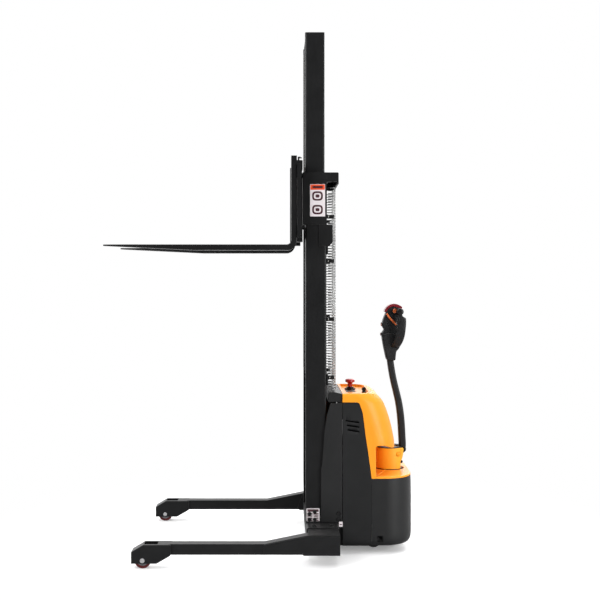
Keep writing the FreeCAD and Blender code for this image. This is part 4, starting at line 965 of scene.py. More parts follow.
def cut_cover(name, solid, slot, windows, replaced):
    """Thin cover with windows, each given as an XZ outline and its Y limits."""
    ob = make(name, *solid, slot, open_shell=True)
    solidify(ob, COVER_WALL)
    bevel(ob, 0.6, 2, 50)
    bake(ob)
    for outline, y0, y1 in windows:
        cut(ob, prism(outline, "xz", y0, y1))
    shade(ob.data)
    weight_normals(ob)
    attach(ob, "chassis", replaced)


def side_edge(z):
    """Rear edge of the side cover, just short of the hood seam."""
    if z <= HOOD_FOOT_Z:
        return 564.3
    return polyline_at(SEAM, z) - 1.8 if z < 933.9 else 477.0


def side_cover(sign, side):
    rows = []
    for z in SIDE_Z:
        half, edge = smooth_at(SIDE_PROFILE, z), side_edge(z)
        rows.append([(COVER_FRONT_X + (edge - COVER_FRONT_X) * i / 22, -half, z)
                     for i in range(23)])
    solid = sheet(rows) if sign < 0 else mirror_y(sheet(rows))
    windows = []
    for x0, z0, x1, z1 in VENT_SLOTS:
        outline = [(x0, z0 + 4.8), (x0, z0 - 4.8), (x1, z1 - 4.8), (x1, z1 + 4.8)]
        windows.append((round_poly(outline, 4.5), sign * 330, sign * 305))
    cut_cover("side_panel_" + side, solid, "cover_grey", windows, "side_cover_" + side)


def vent_screen(sign, side):
    """Plate with upright slats behind the slots, in a near-black, almost unreflecting finish that
    is painted shade for the hollow behind them.
    """
    parts = Parts()
    plate = round_poly(rect(398, 500, 742, 834), 6)
    parts.add(prism(plate, "xz", *span_y(sign, 306, 308.5)))
    for k in range(9):
        x = 404 + k * 10.5
        parts.add(prism(rect(x, x + 3, 746, 830), "xz", *span_y(sign, 308.4, 311)))
    attach(parts.build("vent_screen_" + side, ["vent_painted_shade"]), "chassis")


def rear_cover():
    rows = [wrap_row(level, 565.1, 8, REAR_ANGLES, dished=False)
            for level in catmull(REAR_LEVELS, REAR_STEPS)]
    window = round_poly(rect(595, 633, 71, 114), 7)
    cut_cover("rear_panel", both_halves(sheet(rows)), "cover_black",
              [(window, *span_y(sign, 300, 330)) for sign, _ in SIDES], "rear_cover")


def jacking_pocket(sign, side):
    """Flanged recess in each window of the rear cover."""
    flange = round_poly(rect(594, 634, 70, 115), 8)
    mouth = round_poly(rect(597, 631, 73, 112), 6)
    rows = [[(x, sign * y, z) for x, z in outline]
            for outline, y in ((flange, 316.2), (mouth, 316.2), (mouth, 296.0))]
    verts, faces = sheet(rows, closed=True)
    faces.append(tuple(range(len(verts) - len(mouth), len(verts))))
    ob = make("jacking_pocket_" + side, verts, faces, "black_plastic")
    solidify(ob, 1.2)
    attach(ob, "chassis")


for sign, side in SIDES:
    side_cover(sign, side)
    vent_screen(sign, side)
rear_cover()
for sign, side in SIDES:
    jacking_pocket(sign, side)

# ---------------------------------------------------------------- tiller arm
# Centre line of the bar and outline of the knuckle at its foot: (x, z).
ARM_LINE = [(772, 594), (790, 612), (788, 690), (783, 776), (776, 845), (765, 912),
            (749, 980), (733, 1048), (721, 1114), (711, 1184), (706, 1215)]
KNUCKLE = [(739, 563), (751, 556), (766, 556), (784, 566), (804, 583), (813, 592),
           (812, 612), (790, 622), (768, 611), (748, 592), (737, 580)]
ARM_CORNER_RADIUS = 11


def arm_section(centre, along, width, thickness):
    """Rounded rectangle, wide in Y, square to the bar's direction."""
    normal = Vector((-along.y, along.x))
    radius = ARM_CORNER_RADIUS
    ring = []
    for k, (side_y, side_n) in enumerate(((1, 1), (-1, 1), (-1, -1), (1, -1))):
        for s in range(6):
            a = math.pi / 2 * k + math.pi / 2 * s / 5
            y = side_y * (width / 2 - radius) + radius * math.cos(a)
            out = side_n * (thickness / 2 - radius) + radius * math.sin(a)
            p = centre + normal * out
            ring.append((p.x, y, p.y))
    return ring


def tiller_arm():
    path = [Vector(p) for p in catmull(ARM_LINE, 6)]
    last = len(path) - 1
    rows = []
    for i, p in enumerate(path):
        along = (path[min(i + 1, last)] - path[max(i - 1, 0)]).normalized()
        width = 60 - 4 * smooth01((i / last - 0.2) / 0.5)
        thickness = 44 - 3 * smooth01((i / last - 0.25) / 0.5)
        rows.append(arm_section(p, along, width, thickness))
    bar = make("arm_bar", *loft(rows), "arm_black")
    knuckle = make("arm_knuckle", *prism(round_poly(KNUCKLE, 7, 5), "xz", -30, 30), "arm_black")
    bevel(knuckle, 4.0, 4, 40)
    bake(knuckle)
    for ob in (bar, knuckle):
        bevel(ob, 1.2, 2, 50)
        attach(ob, "tiller", "tiller_arm")


tiller_arm()

# ---------------------------------------------------------------- tiller head
# Outlines of the head: (x, z).
POD = [(688, 1176), (681, 1200), (668, 1262), (660.5, 1305), (655.5, 1342), (660, 1354),
       (668.5, 1364), (671, 1374), (661.5, 1386), (659.5, 1408), (664, 1430), (672, 1452),
       (686, 1484), (692, 1500), (708, 1512), (728, 1518), (750, 1518), (770, 1512),
       (772, 1470), (756, 1440), (757, 1390), (761, 1330), (777, 1268), (764, 1244),
       (747, 1228), (742, 1176)]
NECK = [(689, 1172), (677, 1226), (667, 1282), (664, 1322), (672, 1346), (716, 1352),
        (762, 1338), (783, 1322), (787, 1300), (776, 1268), (760, 1246), (748, 1228),
        (743, 1172)]
GRIP_SOCKET = [(744, 1454), (778, 1454), (789, 1468), (789, 1500), (777, 1511), (744, 1510),
               (734, 1492), (736, 1464)]
# Hand guard, a band from the neck out and up to the end of the grip:
# y, z, low x, high x, half thickness.
GUARD_STATIONS = [
    (26, 1262, 708, 765, 15), (44, 1270, 712, 772, 15), (62, 1284, 718, 780, 14),
    (80, 1306, 728, 789, 12.5), (96, 1336, 738, 796, 11), (106, 1372, 746, 800, 9.5),
    (110, 1410, 751, 803, 8.5), (110.5, 1436, 755, 803, 8), (110.3, 1449, 759, 799, 7.5),
    (110, 1458, 762, 783, 6.5), (109, 1475, 760, 776, 6)]
GUARD_SQUARENESS = 0.62     # exponent of the band's section; 1 would be an ellipse
GRIP_X, GRIP_Z = 766, 1488
GRIP_SCALE = 0.9            # applied to the radii of the grip profile
GRIP_RIBS, RIB_PITCH = 13, 4.8


def hand_guard(sign, side):
    stations = catmull(GUARD_STATIONS, 4)
    last = len(stations) - 1
    rows = []
    for i, (y, z, x0, x1, thick) in enumerate(stations):
        behind, ahead = stations[max(i - 1, 0)], stations[min(i + 1, last)]
        along = Vector((ahead[0] - behind[0], ahead[1] - behind[1])).normalized()
        normal = Vector((along.y, -along.x))
        row = []
        for k in range(20):
            angle = 2 * math.pi * k / 20
            c, s = math.cos(angle), math.sin(angle)
            u = math.copysign(abs(c) ** GUARD_SQUARENESS, c) * (x1 - x0) / 2
            v = math.copysign(abs(s) ** GUARD_SQUARENESS, s) * thick
            row.append(((x0 + x1) / 2 + u, sign * (y + normal.x * v), z + normal.y * v))
        rows.append(row)
    ob = make("hand_guard_" + side, *loft(rows), "head_plastic")
    subdivision = ob.modifiers.new("sub", "SUBSURF")
    subdivision.levels = subdivision.render_levels = 1
    attach(ob, "tiller", "tiller_head")


def grip(sign, side):
    """Ribbed grip with a flanged, domed end."""
    profile = [(0.01, 30), (20, 30), (22.5, 33)]    # radius, distance from the middle
    for k in range(GRIP_RIBS):
        y = 36.0 + RIB_PITCH * k
        profile += [(23.4, y), (23.4, y + 2.6), (22.2, y + 3.2), (22.2, y + 4.2)]
    profile += [(23.0, 101), (24.2, 103), (24.2, 108), (23.2, 112), (20.5, 114.6),
                (15.0, 116.0), (7.0, 116.3), (0.01, 116.3)]
    turned = [(r * GRIP_SCALE, sign * y) for r, y in profile]
    ob = make("grip_" + side, *lathe(turned, "xz", GRIP_X, GRIP_Z, 48), "black_plastic")
    attach(ob, "tiller", "tiller_head")


for name, outline, half, rim, steps in (("head_pod", round_poly(POD, 6), 34, 8, 5),
                                        ("head_neck", round_poly(NECK, 9, 5), 45, 13, 6)):
    ob = soft_prism(name, outline, (-half, half), "head_plastic", rim, steps)
    shade(ob.data)
    attach(ob, "tiller", "tiller_head")
for sign, side in SIDES:
    hand_guard(sign, side)
    grip(sign, side)
    ob = soft_prism("grip_socket_" + side, round_poly(GRIP_SOCKET, 9), span_y(sign, 26, 41),
                    "head_plastic", rim=4)
    attach(ob, "tiller", "tiller_head")

# ---------------------------------------------------------------- belly button
# Crescent over the pod and the stem under it: (x, z).
BELLY_PAD = [
    (672, 1484), (676, 1500), (686, 1515), (700, 1526), (714, 1533), (728, 1537), (742, 1537),
    (756, 1534), (770, 1528), (782, 1521), (788, 1514), (783, 1504), (773, 1508.5),
    (760, 1513), (744, 1518), (728, 1520.5), (714, 1517), (703, 1510.5), (695, 1502),
    (690, 1493), (687, 1484)]
BELLY_STEM = [(698, 1492), (754, 1492), (754, 1522), (726, 1523), (704, 1516)]

ob = soft_prism("belly_pad", round_poly(BELLY_PAD, 2.5, 3), (-34, 34), "belly_red", rim=3.2,
                fine=0.4)
attach(ob, "belly_button", "belly_button")
ob = make("belly_stem", *prism(round_poly(BELLY_STEM, 4, 3), "xz", -17.5, 17.5),
          "black_plastic")
bevel(ob, 2, 2, 50)
attach(ob, "belly_button", "belly_button")

# ---------------------------------------------------------------- throttle butterfly
BUTTERFLY_X, BUTTERFLY_Z = 728, 1456
# Outlines: (x, z).
WING = [(681, 1474), (686, 1462), (698, 1445), (712, 1430), (728, 1413), (741, 1400),
        (748, 1398), (750, 1408), (738, 1420), (722, 1436), (708, 1452), (697, 1466),
        (690, 1478)]
WEB = [(694, 1462), (706, 1446), (722, 1430), (736, 1416), (745, 1424), (744, 1446),
       (743, 1470), (744, 1486), (732, 1490), (718, 1482), (704, 1474)]
# Name, outline, near and far y, rim radius, finish, slot.
THUMB_PARTS = [
    ("thumb_wing_", round_poly(WING, 4, 3), 37, 57, 4.0, "wing_orange", "orange_plastic"),
    ("thumb_tab_", ellipse(736, 1491, 12, 15, 12), 40, 55, 3.0, "wing_orange",
     "orange_plastic"),
    ("thumb_hub_", ellipse(BUTTERFLY_X, BUTTERFLY_Z, 16, 16, 24), 36, 49, 2.5,
     "black_plastic", "black_plastic"),
    ("thumb_web_", round_poly(WEB, 6), 38, 45.5, 2.0, "black_plastic", "black_plastic")]

shaft = lathe([(0.01, -42), (7.6, -42), (7.6, 42), (0.01, 42)], "xz", BUTTERFLY_X, BUTTERFLY_Z,
              32)
attach(make("butterfly_shaft", *shaft, "black_plastic"), "throttle",
       "throttle_butterfly")
for sign, side in SIDES:
    for name, outline, near, far, rim, finish_name, slot in THUMB_PARTS:
        ob = soft_prism(name + side, outline, span_y(sign, near, far), finish_name, rim,
                        fine=0.4)
        attach(ob, "throttle", "throttle_butterfly")

# ---------------------------------------------------------------- push buttons
# Name, body, y, z, radius, x of the face, finish of the face.
PUSH_BUTTONS = [
    ("lift_push", "lift_button", -20, 1404, 12.0, 654.0, "orange_plastic"),
    ("lower_push", "lower_button", 20, 1404, 12.0, 654.0, "orange_plastic"),
    ("horn_push", "horn_button", 0, 1340, 10.0, 649.0, "red_plastic")]


def push_button(name, body, y, z, radius, face_x, slot):
    """Domed button on the pod's low-X face, with a coloured face and black sides."""
    rim = radius - 0.4
    profile = round_line([(0.01, 0), (rim, 0), (rim, 30), (0.01, 30)], 2.4, 4)
    profile = [(0.01, 1.2), (radius * 0.4, 0.9), (radius * 0.75, 0.3)] + profile[1:]
    ob = make(name, *lathe(profile, "yz", y, z, 40, rise=face_x), "black_plastic")
    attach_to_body(ob, body)
    ob.data.materials.append(MATERIALS[slot])
    deepest = (face_x + 1.6 + SHIFT_X) * MM
    for face in ob.data.polygons:
        corners = [ob.data.vertices[i].co for i in face.vertices]
        on_face = max(co.x for co in corners) < deepest and all(
            (co.y * 1000 - y) ** 2 + (co.z * 1000 - z) ** 2 < (radius * 0.77) ** 2
            for co in corners)
        face.material_index = 1 if on_face else 0
    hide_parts(body)


for button in PUSH_BUTTONS:
    push_button(*button)

# ---------------------------------------------------------------- tiller base
BARREL_RADIUS = 88.0
NOSE_HALF = 58.0
NOSE_CORNER_RADIUS = 20.0
NOSE_PROFILE = [(482, 764), (516, 766), (528, 775), (540, 784), (570, 793), (604, 795),
                (609, 793), (613.4, 786)]       # z, x of the nose
NOSE_EASED_BELOW = 540
HOUSING_Z = [482, 486, 492, 500, 508, 516, 522, 528, 534, 540, 550, 560, 570, 582, 594, 602,
             607, 610.5, 612.6, 613.4]
HOUSING_TOP_Z = HOUSING_Z[-1]
RIM_Z = 609.9               # the top edge rounds off above this level
PIVOT_X, PIVOT_Z = 757, 575


def base_outline(z, grow=0.0):
    """Plan of the base at one level: round barrel with a straight-sided nose towards +X."""
    radius, half = BARREL_RADIUS + grow, NOSE_HALF + grow
    half_angle = math.asin(half / radius)
    root = TURN_X + radius * math.cos(half_angle)
    tip = max(polyline_at(NOSE_PROFILE, z, NOSE_EASED_BELOW) + grow, root + 1.0)
    corner = min(NOSE_CORNER_RADIUS, tip - root - 0.5)
    barrel = []
    for k in range(65):
        a = -half_angle - (2 * math.pi - 2 * half_angle) * k / 64
        barrel.append((TURN_X + radius * math.cos(a), radius * math.sin(a)))
    nose = [(root + (tip - corner - root) * k / 5, half) for k in range(1, 6)]
    nose += [(tip - corner + corner * math.sin(a), half - corner + corner * math.cos(a))
             for a in (math.pi / 2 * k / 8 for k in range(1, 9))]
    nose += [(tip, (half - corner) * (1 - k / 4)) for k in range(1, 5)]
    return barrel + nose + [(x, -y) for x, y in nose[:-1]][::-1]


def tiller_housing():
    rows = []
    for z in HOUSING_Z:
        grow = 0.0
        if z > RIM_Z:
            grow = -3.2 * (1 - math.sqrt(1 - ((z - RIM_Z) / 3.6) ** 2))
        rows.append([(x, y, z) for x, y in base_outline(z, grow)])
    verts, faces = sheet(rows, closed=True)
    n = len(rows[0])
    faces += [tuple(range(len(verts) - n, len(verts))), tuple(range(n))[::-1]]
    # the barrel's orange is the hood paint lightened, as painted light against the niche's shade
    ob = make("tiller_housing", verts, faces, "barrel_orange")
    # slot for the arm, then the pin hole with a recess at each end
    slot_plan = round_poly(rect(738, 830, -34, 34), [6, 0, 0, 6])
    cut(ob, prism(slot_plan, "xy", 534, 640))
    hole = [(0.01, -95), (16, -95), (16, -56.5), (10.2, -56.5), (10.2, 56.5), (16, 56.5),
            (16, 95), (0.01, 95)]
    cut(ob, lathe(hole, "xz", PIVOT_X, PIVOT_Z, 48))
    bevel(ob, 1.4, 3, 40)
    attach(ob, "drive_unit", "tiller_base")


def housing_cap():
    outline = base_outline(HOUSING_TOP_Z, -2.0)
    rows = [[(x, y, z) for x, y in outline] for z in (613.6, 620.2)]
    ob = make("tiller_housing_cap", *loft(rows), "cover_black")
    cut(ob, prism(rect(737, 830, -34.5, 34.5), "xy", 600, 640))
    bevel(ob, 1.8, 3, 40)
    attach(ob, "drive_unit", "tiller_base_trim")


def bump_stop():
    profile = round_line([(0.01, -24), (10, -24), (10, 24), (0.01, 24)], 3, 4)
    ob = make("bump_stop", *lathe(profile, "xz", 782, 518, 36), "black_plastic")
    attach(ob, "drive_unit", "tiller_base_trim")
    outline = round_poly([(764, 506), (784, 508), (784, 528), (772, 530), (764, 522)], 3, 3)
    ob = make("bump_bracket", *prism(outline, "xz", -10, 10), "black_plastic")
    bevel(ob, 1, 2, 40)
    attach(ob, "drive_unit", "tiller_base_trim")


def pivot_pin():
    """Pin with a domed head at each end."""
    head = [(0.01, 63.2), (6, 63.0), (10.5, 62.0), (12.8, 60.4), (12.8, 58.4), (9.9, 57.6)]
    profile = [(r, -y) for r, y in head] + head[::-1]
    # same lightened orange as the barrel (painted light), so the pin blends into it
    ob = make("pivot_pin", *lathe(profile, "xz", PIVOT_X, PIVOT_Z, 48), "barrel_orange")
    attach(ob, "drive_unit", "tiller_pivot_pin")


tiller_housing()
housing_cap()
bump_stop()
pivot_pin()


# ---------------------------------------------------------------- switches in the tray
def stop_button():
    profile = [(0.01, 936), (9.8, 936), (9.8, 990), (15.5, 992), (15.5, 1013), (20, 1018),
               (29.5, 1022), (31, 1025), (31, 1035), (28, 1040), (19, 1042.6), (8, 1043),
               (0.01, 1043)]
    turned = lathe(round_line(profile, 2.4, 4), "xy", 459, 86, 72)
    attach(make("stop_mushroom", *turned, "red_plastic"), "emergency_stop",
           "emergency_stop_button")


def key():
    bow = [(522, 985), (548, 985), (550, 996), (543, 1007.6), (527, 1007.6), (520, 996)]
    ob = make("key_bow", *prism(round_poly(bow, 4.5), "xz", -103.2, -96.8), "black_plastic")
    bevel(ob, 1.6, 3, 50)
    attach(ob, "key", "key")
    barrel = [(0.01, 951), (4.8, 951), (4.8, 981.8), (8.6, 982.2), (8.6, 986.4), (0.01, 986.4)]
    turned = lathe(round_line(barrel, 1.0, 3), "xy", 535, -100, 40)
    attach(make("key_barrel", *turned, "black_plastic"), "key", "key")


stop_button()
key()

# ---------------------------------------------------------------- leaf chains
PITCH = 15.875
LINK_HEIGHT, LINK_WAIST = 11.6, 7.6
PLATE_HALF = 1.12           # half thickness of a link plate
OUTER_PLATES = (-7.2, -2.4, 2.4, 7.2)       # Y of the plates in alternate links
INNER_PLATES = (-4.8, 0.0, 4.8)
RIVET = [(0.01, -9.4), (2.4, -9.4), (2.9, -8.9), (2.9, 8.9), (2.4, 9.4), (0.01, 9.4)]
CHAIN_Y = 70.0
PULLEY_Z = 3165.0
PULLEY_RADIUS = 45.0        # to the pin centres
FRONT_X = 160.0
PULLEY_X = FRONT_X + PULLEY_RADIUS
WRAP_LINKS = 9
# Run, x, links, first link, body at the foot, z where the blend starts, foot of the anchor
# stem, top of the plate it hangs from.
CHAIN_RUNS = [
    ("front", FRONT_X, 61, 0, "carriage", 2215, 2130, 2154),
    ("rear", PULLEY_X + PULLEY_RADIUS, 87, 1, "chassis", 1795, 1706, 1738)]


def link_outline():
    r = LINK_HEIGHT / 2
    angles = [math.pi * k / 6 for k in range(7)]
    start = [(-PITCH / 2 + r * math.cos(math.pi / 2 + a), r * math.sin(math.pi / 2 + a))
             for a in angles]
    end = [(PITCH / 2 + r * math.cos(-math.pi / 2 + a), r * math.sin(-math.pi / 2 + a))
           for a in angles]
    return start + [(0, -LINK_WAIST / 2)] + end + [(0, LINK_WAIST / 2)]


LINK = link_outline()


def chain(name, pins, y_mid, first=0):
    """Plates and rivets along pin centres given as (x, z)."""
    parts = Parts()
    for i, (start, end) in enumerate(zip(pins, pins[1:])):
        start, end = Vector(start), Vector(end)
        along = (end - start).normalized()
        normal = Vector((-along.y, along.x))
        middle = (start + end) / 2
        scale = (end - start).length / PITCH
        outline = [tuple(middle + along * p * scale + normal * q) for p, q in LINK]
        for y in OUTER_PLATES if (i + first) % 2 == 0 else INNER_PLATES:
            parts.add(prism(outline, "xz", y_mid + y - PLATE_HALF, y_mid + y + PLATE_HALF))
    for x, z in pins:
        parts.add(lathe(RIVET, "xz", x, z, 12, rise=y_mid), 1)
    return parts.build(name, ["chain_steel", "bearing_steel"])


def chain_anchor(name, x, y, pin_z, stem_z, plate_z):
    """Forked block, threaded stem, two nuts and a washer."""
    parts = Parts()
    cheek = round_poly([(x - 8, pin_z - 12), (x + 8, pin_z - 12), (x + 8, pin_z + 5),
                        (x + 4, pin_z + 7), (x - 4, pin_z + 7), (x - 8, pin_z + 5)], 2, 3)
    parts.add(prism(cheek, "xz", y - 13, y - 9.6))
    parts.add(prism(cheek, "xz", y + 9.6, y + 13))
    block = round_poly(rect(x - 8, x + 8, pin_z - 24, pin_z - 11), 2, 3)
    parts.add(prism(block, "xz", y - 13, y + 13))
    pin = [(0.01, -14), (4.4, -14), (4.4, 14), (0.01, 14)]
    parts.add(lathe(pin, "xz", x, pin_z, 20, rise=y))
    thread = [(0.01, stem_z)]
    z = stem_z
    while z < pin_z - 26:
        thread += [(5.3, z), (6.0, z + 0.7), (6.0, z + 1.05), (5.3, z + 1.75)]
        z += 1.75
    thread += [(6.0, pin_z - 24), (0.01, pin_z - 23)]
    parts.add(lathe(thread, "xy", x, y, 16))
    for z in (plate_z - 10.4, plate_z - 21.0):
        parts.add(prism(hexagon(x, y, 9.8), "xy", z, z + 9.6))
    washer = [(0.01, -2.0), (12, -2.0), (12, -0.2), (0.01, -0.2)]
    parts.add(lathe(washer, "xy", x, y, 28, rise=plate_z))
    ob = parts.build(name, ["zinc_steel"])
    bevel(ob, 0.5, 2, 40)
    return ob


for sign, side in SIDES:
    y = sign * CHAIN_Y
    for run, x, links, first, body, blend_z, _, _ in CHAIN_RUNS:
        foot_z = PULLEY_Z - links * PITCH
        pins = [(x, foot_z + i * PITCH) for i in range(links + 1)]
        ob = chain("chain_run_" + run + "_" + side, pins, y, first)
        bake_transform(ob)
        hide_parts("lift_chain_" + run)
    angles = [math.pi * k / WRAP_LINKS for k in range(WRAP_LINKS + 1)]
    pins = [(PULLEY_X - PULLEY_RADIUS * math.cos(a), PULLEY_Z + PULLEY_RADIUS * math.sin(a))
            for a in angles]
    attach(chain("chain_wrap_" + side, pins, y, 1), "inner_mast")
    for run, x, links, _, body, _, stem_z, plate_z in CHAIN_RUNS:
        ob = chain_anchor("chain_anchor_" + run + "_" + side, x, y, PULLEY_Z - links * PITCH,
                          stem_z, plate_z)
        attach(ob, body, "lift_chain_" + run)

# ---------------------------------------------------------------- mast guard
MESH_X, MESH_Z0, MESH_Z1, MESH_PITCH = 344.0, 1008.0, 2275.0, 17.2
WIRE_RADIUS, RUNG_RADIUS = 1.7, 3.1
BOLT_RADIUS = 6.5
# Clips: wanted z, low x of the side plate, low x and high x of the foot.
GUARD_CLIPS = [(1088.0, 297.4, 297.4, 305.0), (1448.0, 289.5, 287.4, 297.5),
               (1808.0, 289.5, 287.4, 297.5), (2076.0, 289.5, 287.4, 297.5)]


def guard_wires():
    """Level wires, heavier rungs at the sides and six upright wires."""
    parts = Parts()
    for k in range(int((MESH_Z1 - MESH_Z0) / MESH_PITCH) + 1):
        z = MESH_Z0 + k * MESH_PITCH
        wire = [(330, -246, z), (MESH_X, -232, z), (MESH_X, 232, z), (330, 246, z)]
        parts.add(tube(round_line(wire, 9.0, 4), WIRE_RADIUS))
        for sign, _ in SIDES:
            rung = [(299, sign * 246, z), (332, sign * 246, z), (MESH_X + 1.5, sign * 236, z)]
            parts.add(tube(round_line(rung, 7, 4), RUNG_RADIUS, 10))
    for i in range(6):
        y = -195 + 78 * i
        parts.add(tube([(MESH_X + 3.0, y, z) for z in (MESH_Z0 - 6, 1500, MESH_Z1 + 6)],
                       WIRE_RADIUS))
    ob = parts.build("guard_wires", ["guard_zinc"], smooth=True)
    attach(ob, "chassis", "mast_guard")


def guard_clips():
    """Angle clips, each centred midway between two level wires, with their bolt heads."""
    parts = Parts()
    for wanted, plate_x, foot_x, bolt_x in GUARD_CLIPS:
        z = MESH_Z0 + (round((wanted - MESH_Z0) / MESH_PITCH - 0.5) + 0.5) * MESH_PITCH
        for sign, _ in SIDES:
            plate = rect(plate_x, 336, z - 12, z + 12)
            parts.add(prism(plate, "xz", *span_y(sign, 262, 254.5)))
            foot = rect(foot_x, bolt_x, z - 12, z + 12)
            parts.add(prism(foot, "xz", *span_y(sign, 292, 254.5)))
            bolt = hexagon(sign * 277, z, BOLT_RADIUS)
            parts.add(prism(bolt, "yz", bolt_x, bolt_x + 4.5), 1)
            side_bolt = hexagon(321.0, z, BOLT_RADIUS * 0.8)
            parts.add(prism(side_bolt, "xz", *span_y(sign, 262, 266)))
    ob = parts.build("guard_clips", ["mast_black", "zinc_steel"])
    bevel(ob, 0.9, 2, 40)
    attach(ob, "chassis", "mast_guard")


guard_wires()
guard_clips()

# ---------------------------------------------------------------- plain plates
# Layers: low x, high x, low z, high z, near y, far y, material index, corner radius.
# On the mast collars:
MARKING_LAYERS = [
    (185, 278, 2082, 2281, 307.9, 308.25, 0, 5), (187, 276, 2246, 2279, 307.9, 308.4, 1, 3),
    (200, 264, 2256, 2269, 307.9, 308.52, 2, 2)]
for z in (2208.0, 2124.0):
    MARKING_LAYERS += [(198, 264, z - 29, z + 29, 307.9, 308.4, 2, 24),
                       (209, 253, z - 18, z + 18, 307.9, 308.52, 0, 14),
                       (219, 243, z - 10, z + 10, 307.9, 308.62, 2, 8)]
# At the mast foot, with a small plate further back:
DATA_LAYERS = [(163, 243, 204, 283, 311.9, 312.25, 0, 5),
               (168, 238, 262, 278, 312.0, 312.45, 1, 2)]
for z in (249.0, 236.0, 223.0, 210.0):
    DATA_LAYERS += [(168, 200, z - 4, z + 4, 312.0, 312.45, 1, 1.5),
                    (206, 238, z - 4, z + 4, 312.0, 312.45, 1, 1.5)]
DATA_LAYERS += [(362.5, 385, 171, 202.5, 319.1, 320.0, 0, 3),
                (366, 382, 184, 189, 319.2, 320.2, 1, 1)]

for name, layers, slots in (
        ("marking_plate_", MARKING_LAYERS, ["decal_white", "decal_red", "decal_dark"]),
        ("data_plate_", DATA_LAYERS, ["decal_white", "decal_dark"])):
    for sign, side in SIDES:
        parts = Parts()
        for x0, x1, z0, z1, near, far, index, radius in layers:
            outline = round_poly(rect(x0, x1, z0, z1), radius)
            parts.add(prism(outline, "xz", *span_y(sign, near, far)), index)
        attach(parts.build(name + side, slots), "chassis")

# ---------------------------------------------------------------- floor (metres from here on)
FLOOR_HALF = 14.0
FLOOR_Z = -0.0008
FLOOR_CENTRE_X = 0.33       # the visible floor fades out around this point


def floor_material():
    """Pale to the camera, grey to other rays, fading to transparent with distance."""
    material, sh = new_material("studio_floor")
    pale = sh.mix(sh.remap(sh.noise(3.0, 4), span=(0.3, 0.7)), (0.86, 0.86, 0.865),
                  (0.90, 0.90, 0.90))
    sh.surface.inputs["Roughness"].default_value = 0.6
    sh.surface.inputs["Specular IOR Level"].default_value = 0.25
    axes = sh.axes(sh.coords.outputs["Object"])
    x = sh.math("SUBTRACT", axes[0], FLOOR_CENTRE_X)
    x_squared = sh.math("MULTIPLY", x, x)
    y_squared = sh.math("MULTIPLY", axes[1], axes[1])
    distance = sh.math("SQRT", sh.math("ADD", x_squared, y_squared), 0.0)
    fade = sh.remap(distance, span=(0.9, 2.3), smooth=True)
    camera_ray = sh.add("LightPath").outputs["Is Camera Ray"]
    sh.link(sh.mix(camera_ray, (0.34, 0.34, 0.345), pale), sh.surface.inputs["Base Color"])
    glow = sh.add("Emission")
    glow.inputs[0].default_value = (1, 1, 1, 1)
    sh.link(sh.math("MULTIPLY", camera_ray, 0.22), glow.inputs[1])
    lit = sh.add("AddShader")
    sh.link(sh.surface.outputs[0], lit.inputs[0])
    sh.link(glow.outputs[0], lit.inputs[1])
    clear = sh.add("BsdfTransparent")
    blend = sh.add("MixShader")
    sh.link(sh.math("MULTIPLY", fade, camera_ray), blend.inputs[0])
    sh.link(lit.outputs[0], blend.inputs[1])
    sh.link(clear.outputs[0], blend.inputs[2])
    sh.link(blend.outputs[0], sh.output.inputs[0])
    return material


def studio_floor():
    mesh = bpy.data.meshes.new("floor")
    corners = rect(-FLOOR_HALF, FLOOR_HALF, -FLOOR_HALF, FLOOR_HALF)
    mesh.from_pydata([(x, y, FLOOR_Z) for x, y in corners], [], [(0, 1, 2, 3)])
    clean(mesh)
    shade(mesh, smooth=False)
    ob = add_object("floor", mesh)
    mesh.materials.append(floor_material())


studio_floor()

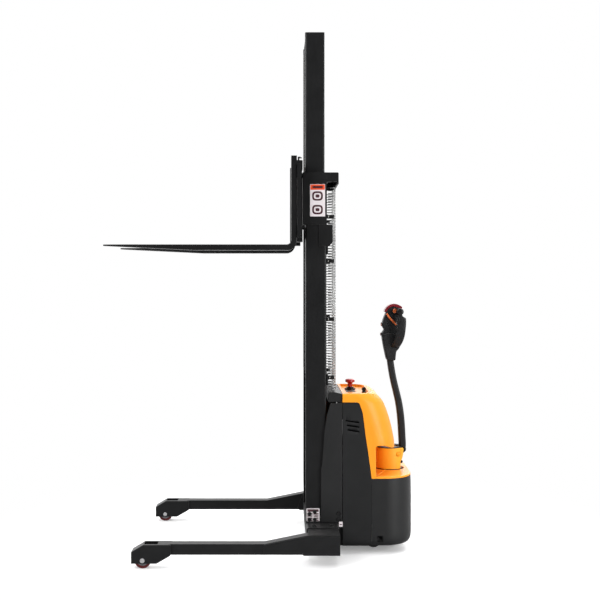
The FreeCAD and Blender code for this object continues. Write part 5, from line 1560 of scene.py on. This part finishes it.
# ---------------------------------------------------------------- lights
# Name, location, target, size, power in watts.
SOFTBOXES = [
    ("key_light", (-3.6, -4.6, 5.2), (0.2, 0, 1.1), (3.0, 3.0), 230),
    ("fill_light", (4.6, -4.3, 1.9), (0.5, 0, 0.8), (2.6, 2.6), 250),
    ("top_light", (0.6, 0.4, 6.6), (0.3, 0, 0.8), (4.5, 3.5), 200),
    ("rim_light", (3.0, 4.6, 3.8), (0.3, 0, 1.4), (3.0, 3.4), 170),
    ("rim_left", (-4.2, 3.6, 3.4), (0.0, 0, 1.2), (2.6, 3.4), 120)]
for name, location, target, size, power in SOFTBOXES:
    light = bpy.data.lights.new(name, "AREA")
    light.shape = "RECTANGLE"
    light.size, light.size_y = size
    light.energy = power
    ob = add_object(name, light)
    ob.location = Vector(location)
    aim = Vector(target) - Vector(location)
    ob.rotation_euler = aim.to_track_quat("-Z", "Y").to_euler()


# ---------------------------------------------------------------- world
def studio_world():
    """White to the camera; to other rays bright towards +Y and dim towards -Y."""
    world = bpy.data.worlds.new("studio")
    bpy.context.scene.world = world
    world.use_nodes = True
    sh = Shader(world.node_tree)
    output = sh.add("OutputWorld")
    switch = sh.add("MixShader")
    light_path = sh.add("LightPath")
    ambient = sh.add("Background")
    backdrop = sh.add("Background")
    backdrop.inputs[0].default_value = (1, 1, 1, 1)
    backdrop.inputs[1].default_value = 1.0
    x, y, z = sh.axes(sh.add("TexCoord").outputs["Generated"])
    level = sh.remap(y, span=(-0.45, 0.85), to=(0.10, 1.25), smooth=True)
    # extra light from above, from +X and from -X
    for axis, span, strength in ((z, (0.30, 0.95), 0.60), (x, (0.30, 0.95), 0.35),
                                 (x, (-0.50, -0.95), 0.55)):
        level = sh.math("ADD", level, sh.remap(axis, span=span, to=(0.0, strength)))
    ambient.inputs[0].default_value = (1.0, 1.0, 1.0, 1)
    sh.link(level, ambient.inputs[1])
    sh.link(light_path.outputs["Is Camera Ray"], switch.inputs[0])
    sh.link(ambient.outputs[0], switch.inputs[1])
    sh.link(backdrop.outputs[0], switch.inputs[2])
    sh.link(switch.outputs[0], output.inputs[0])


studio_world()

# ---------------------------------------------------------------- camera
lens = bpy.data.cameras.new("camera")
lens.sensor_width = 36.0
lens.lens = 59.58
lens.shift_x = 0.0333
lens.shift_y = -0.0317
lens.clip_start = 0.1
lens.clip_end = 100
camera = add_object("camera", lens)
camera.location = (SHIFT_X * MM, -6.430, 1.684)
camera.rotation_euler = (math.radians(90), 0, 0)     # level, looking along +Y
bpy.context.scene.camera = camera
bpy.context.scene.view_settings.view_transform = "Standard"
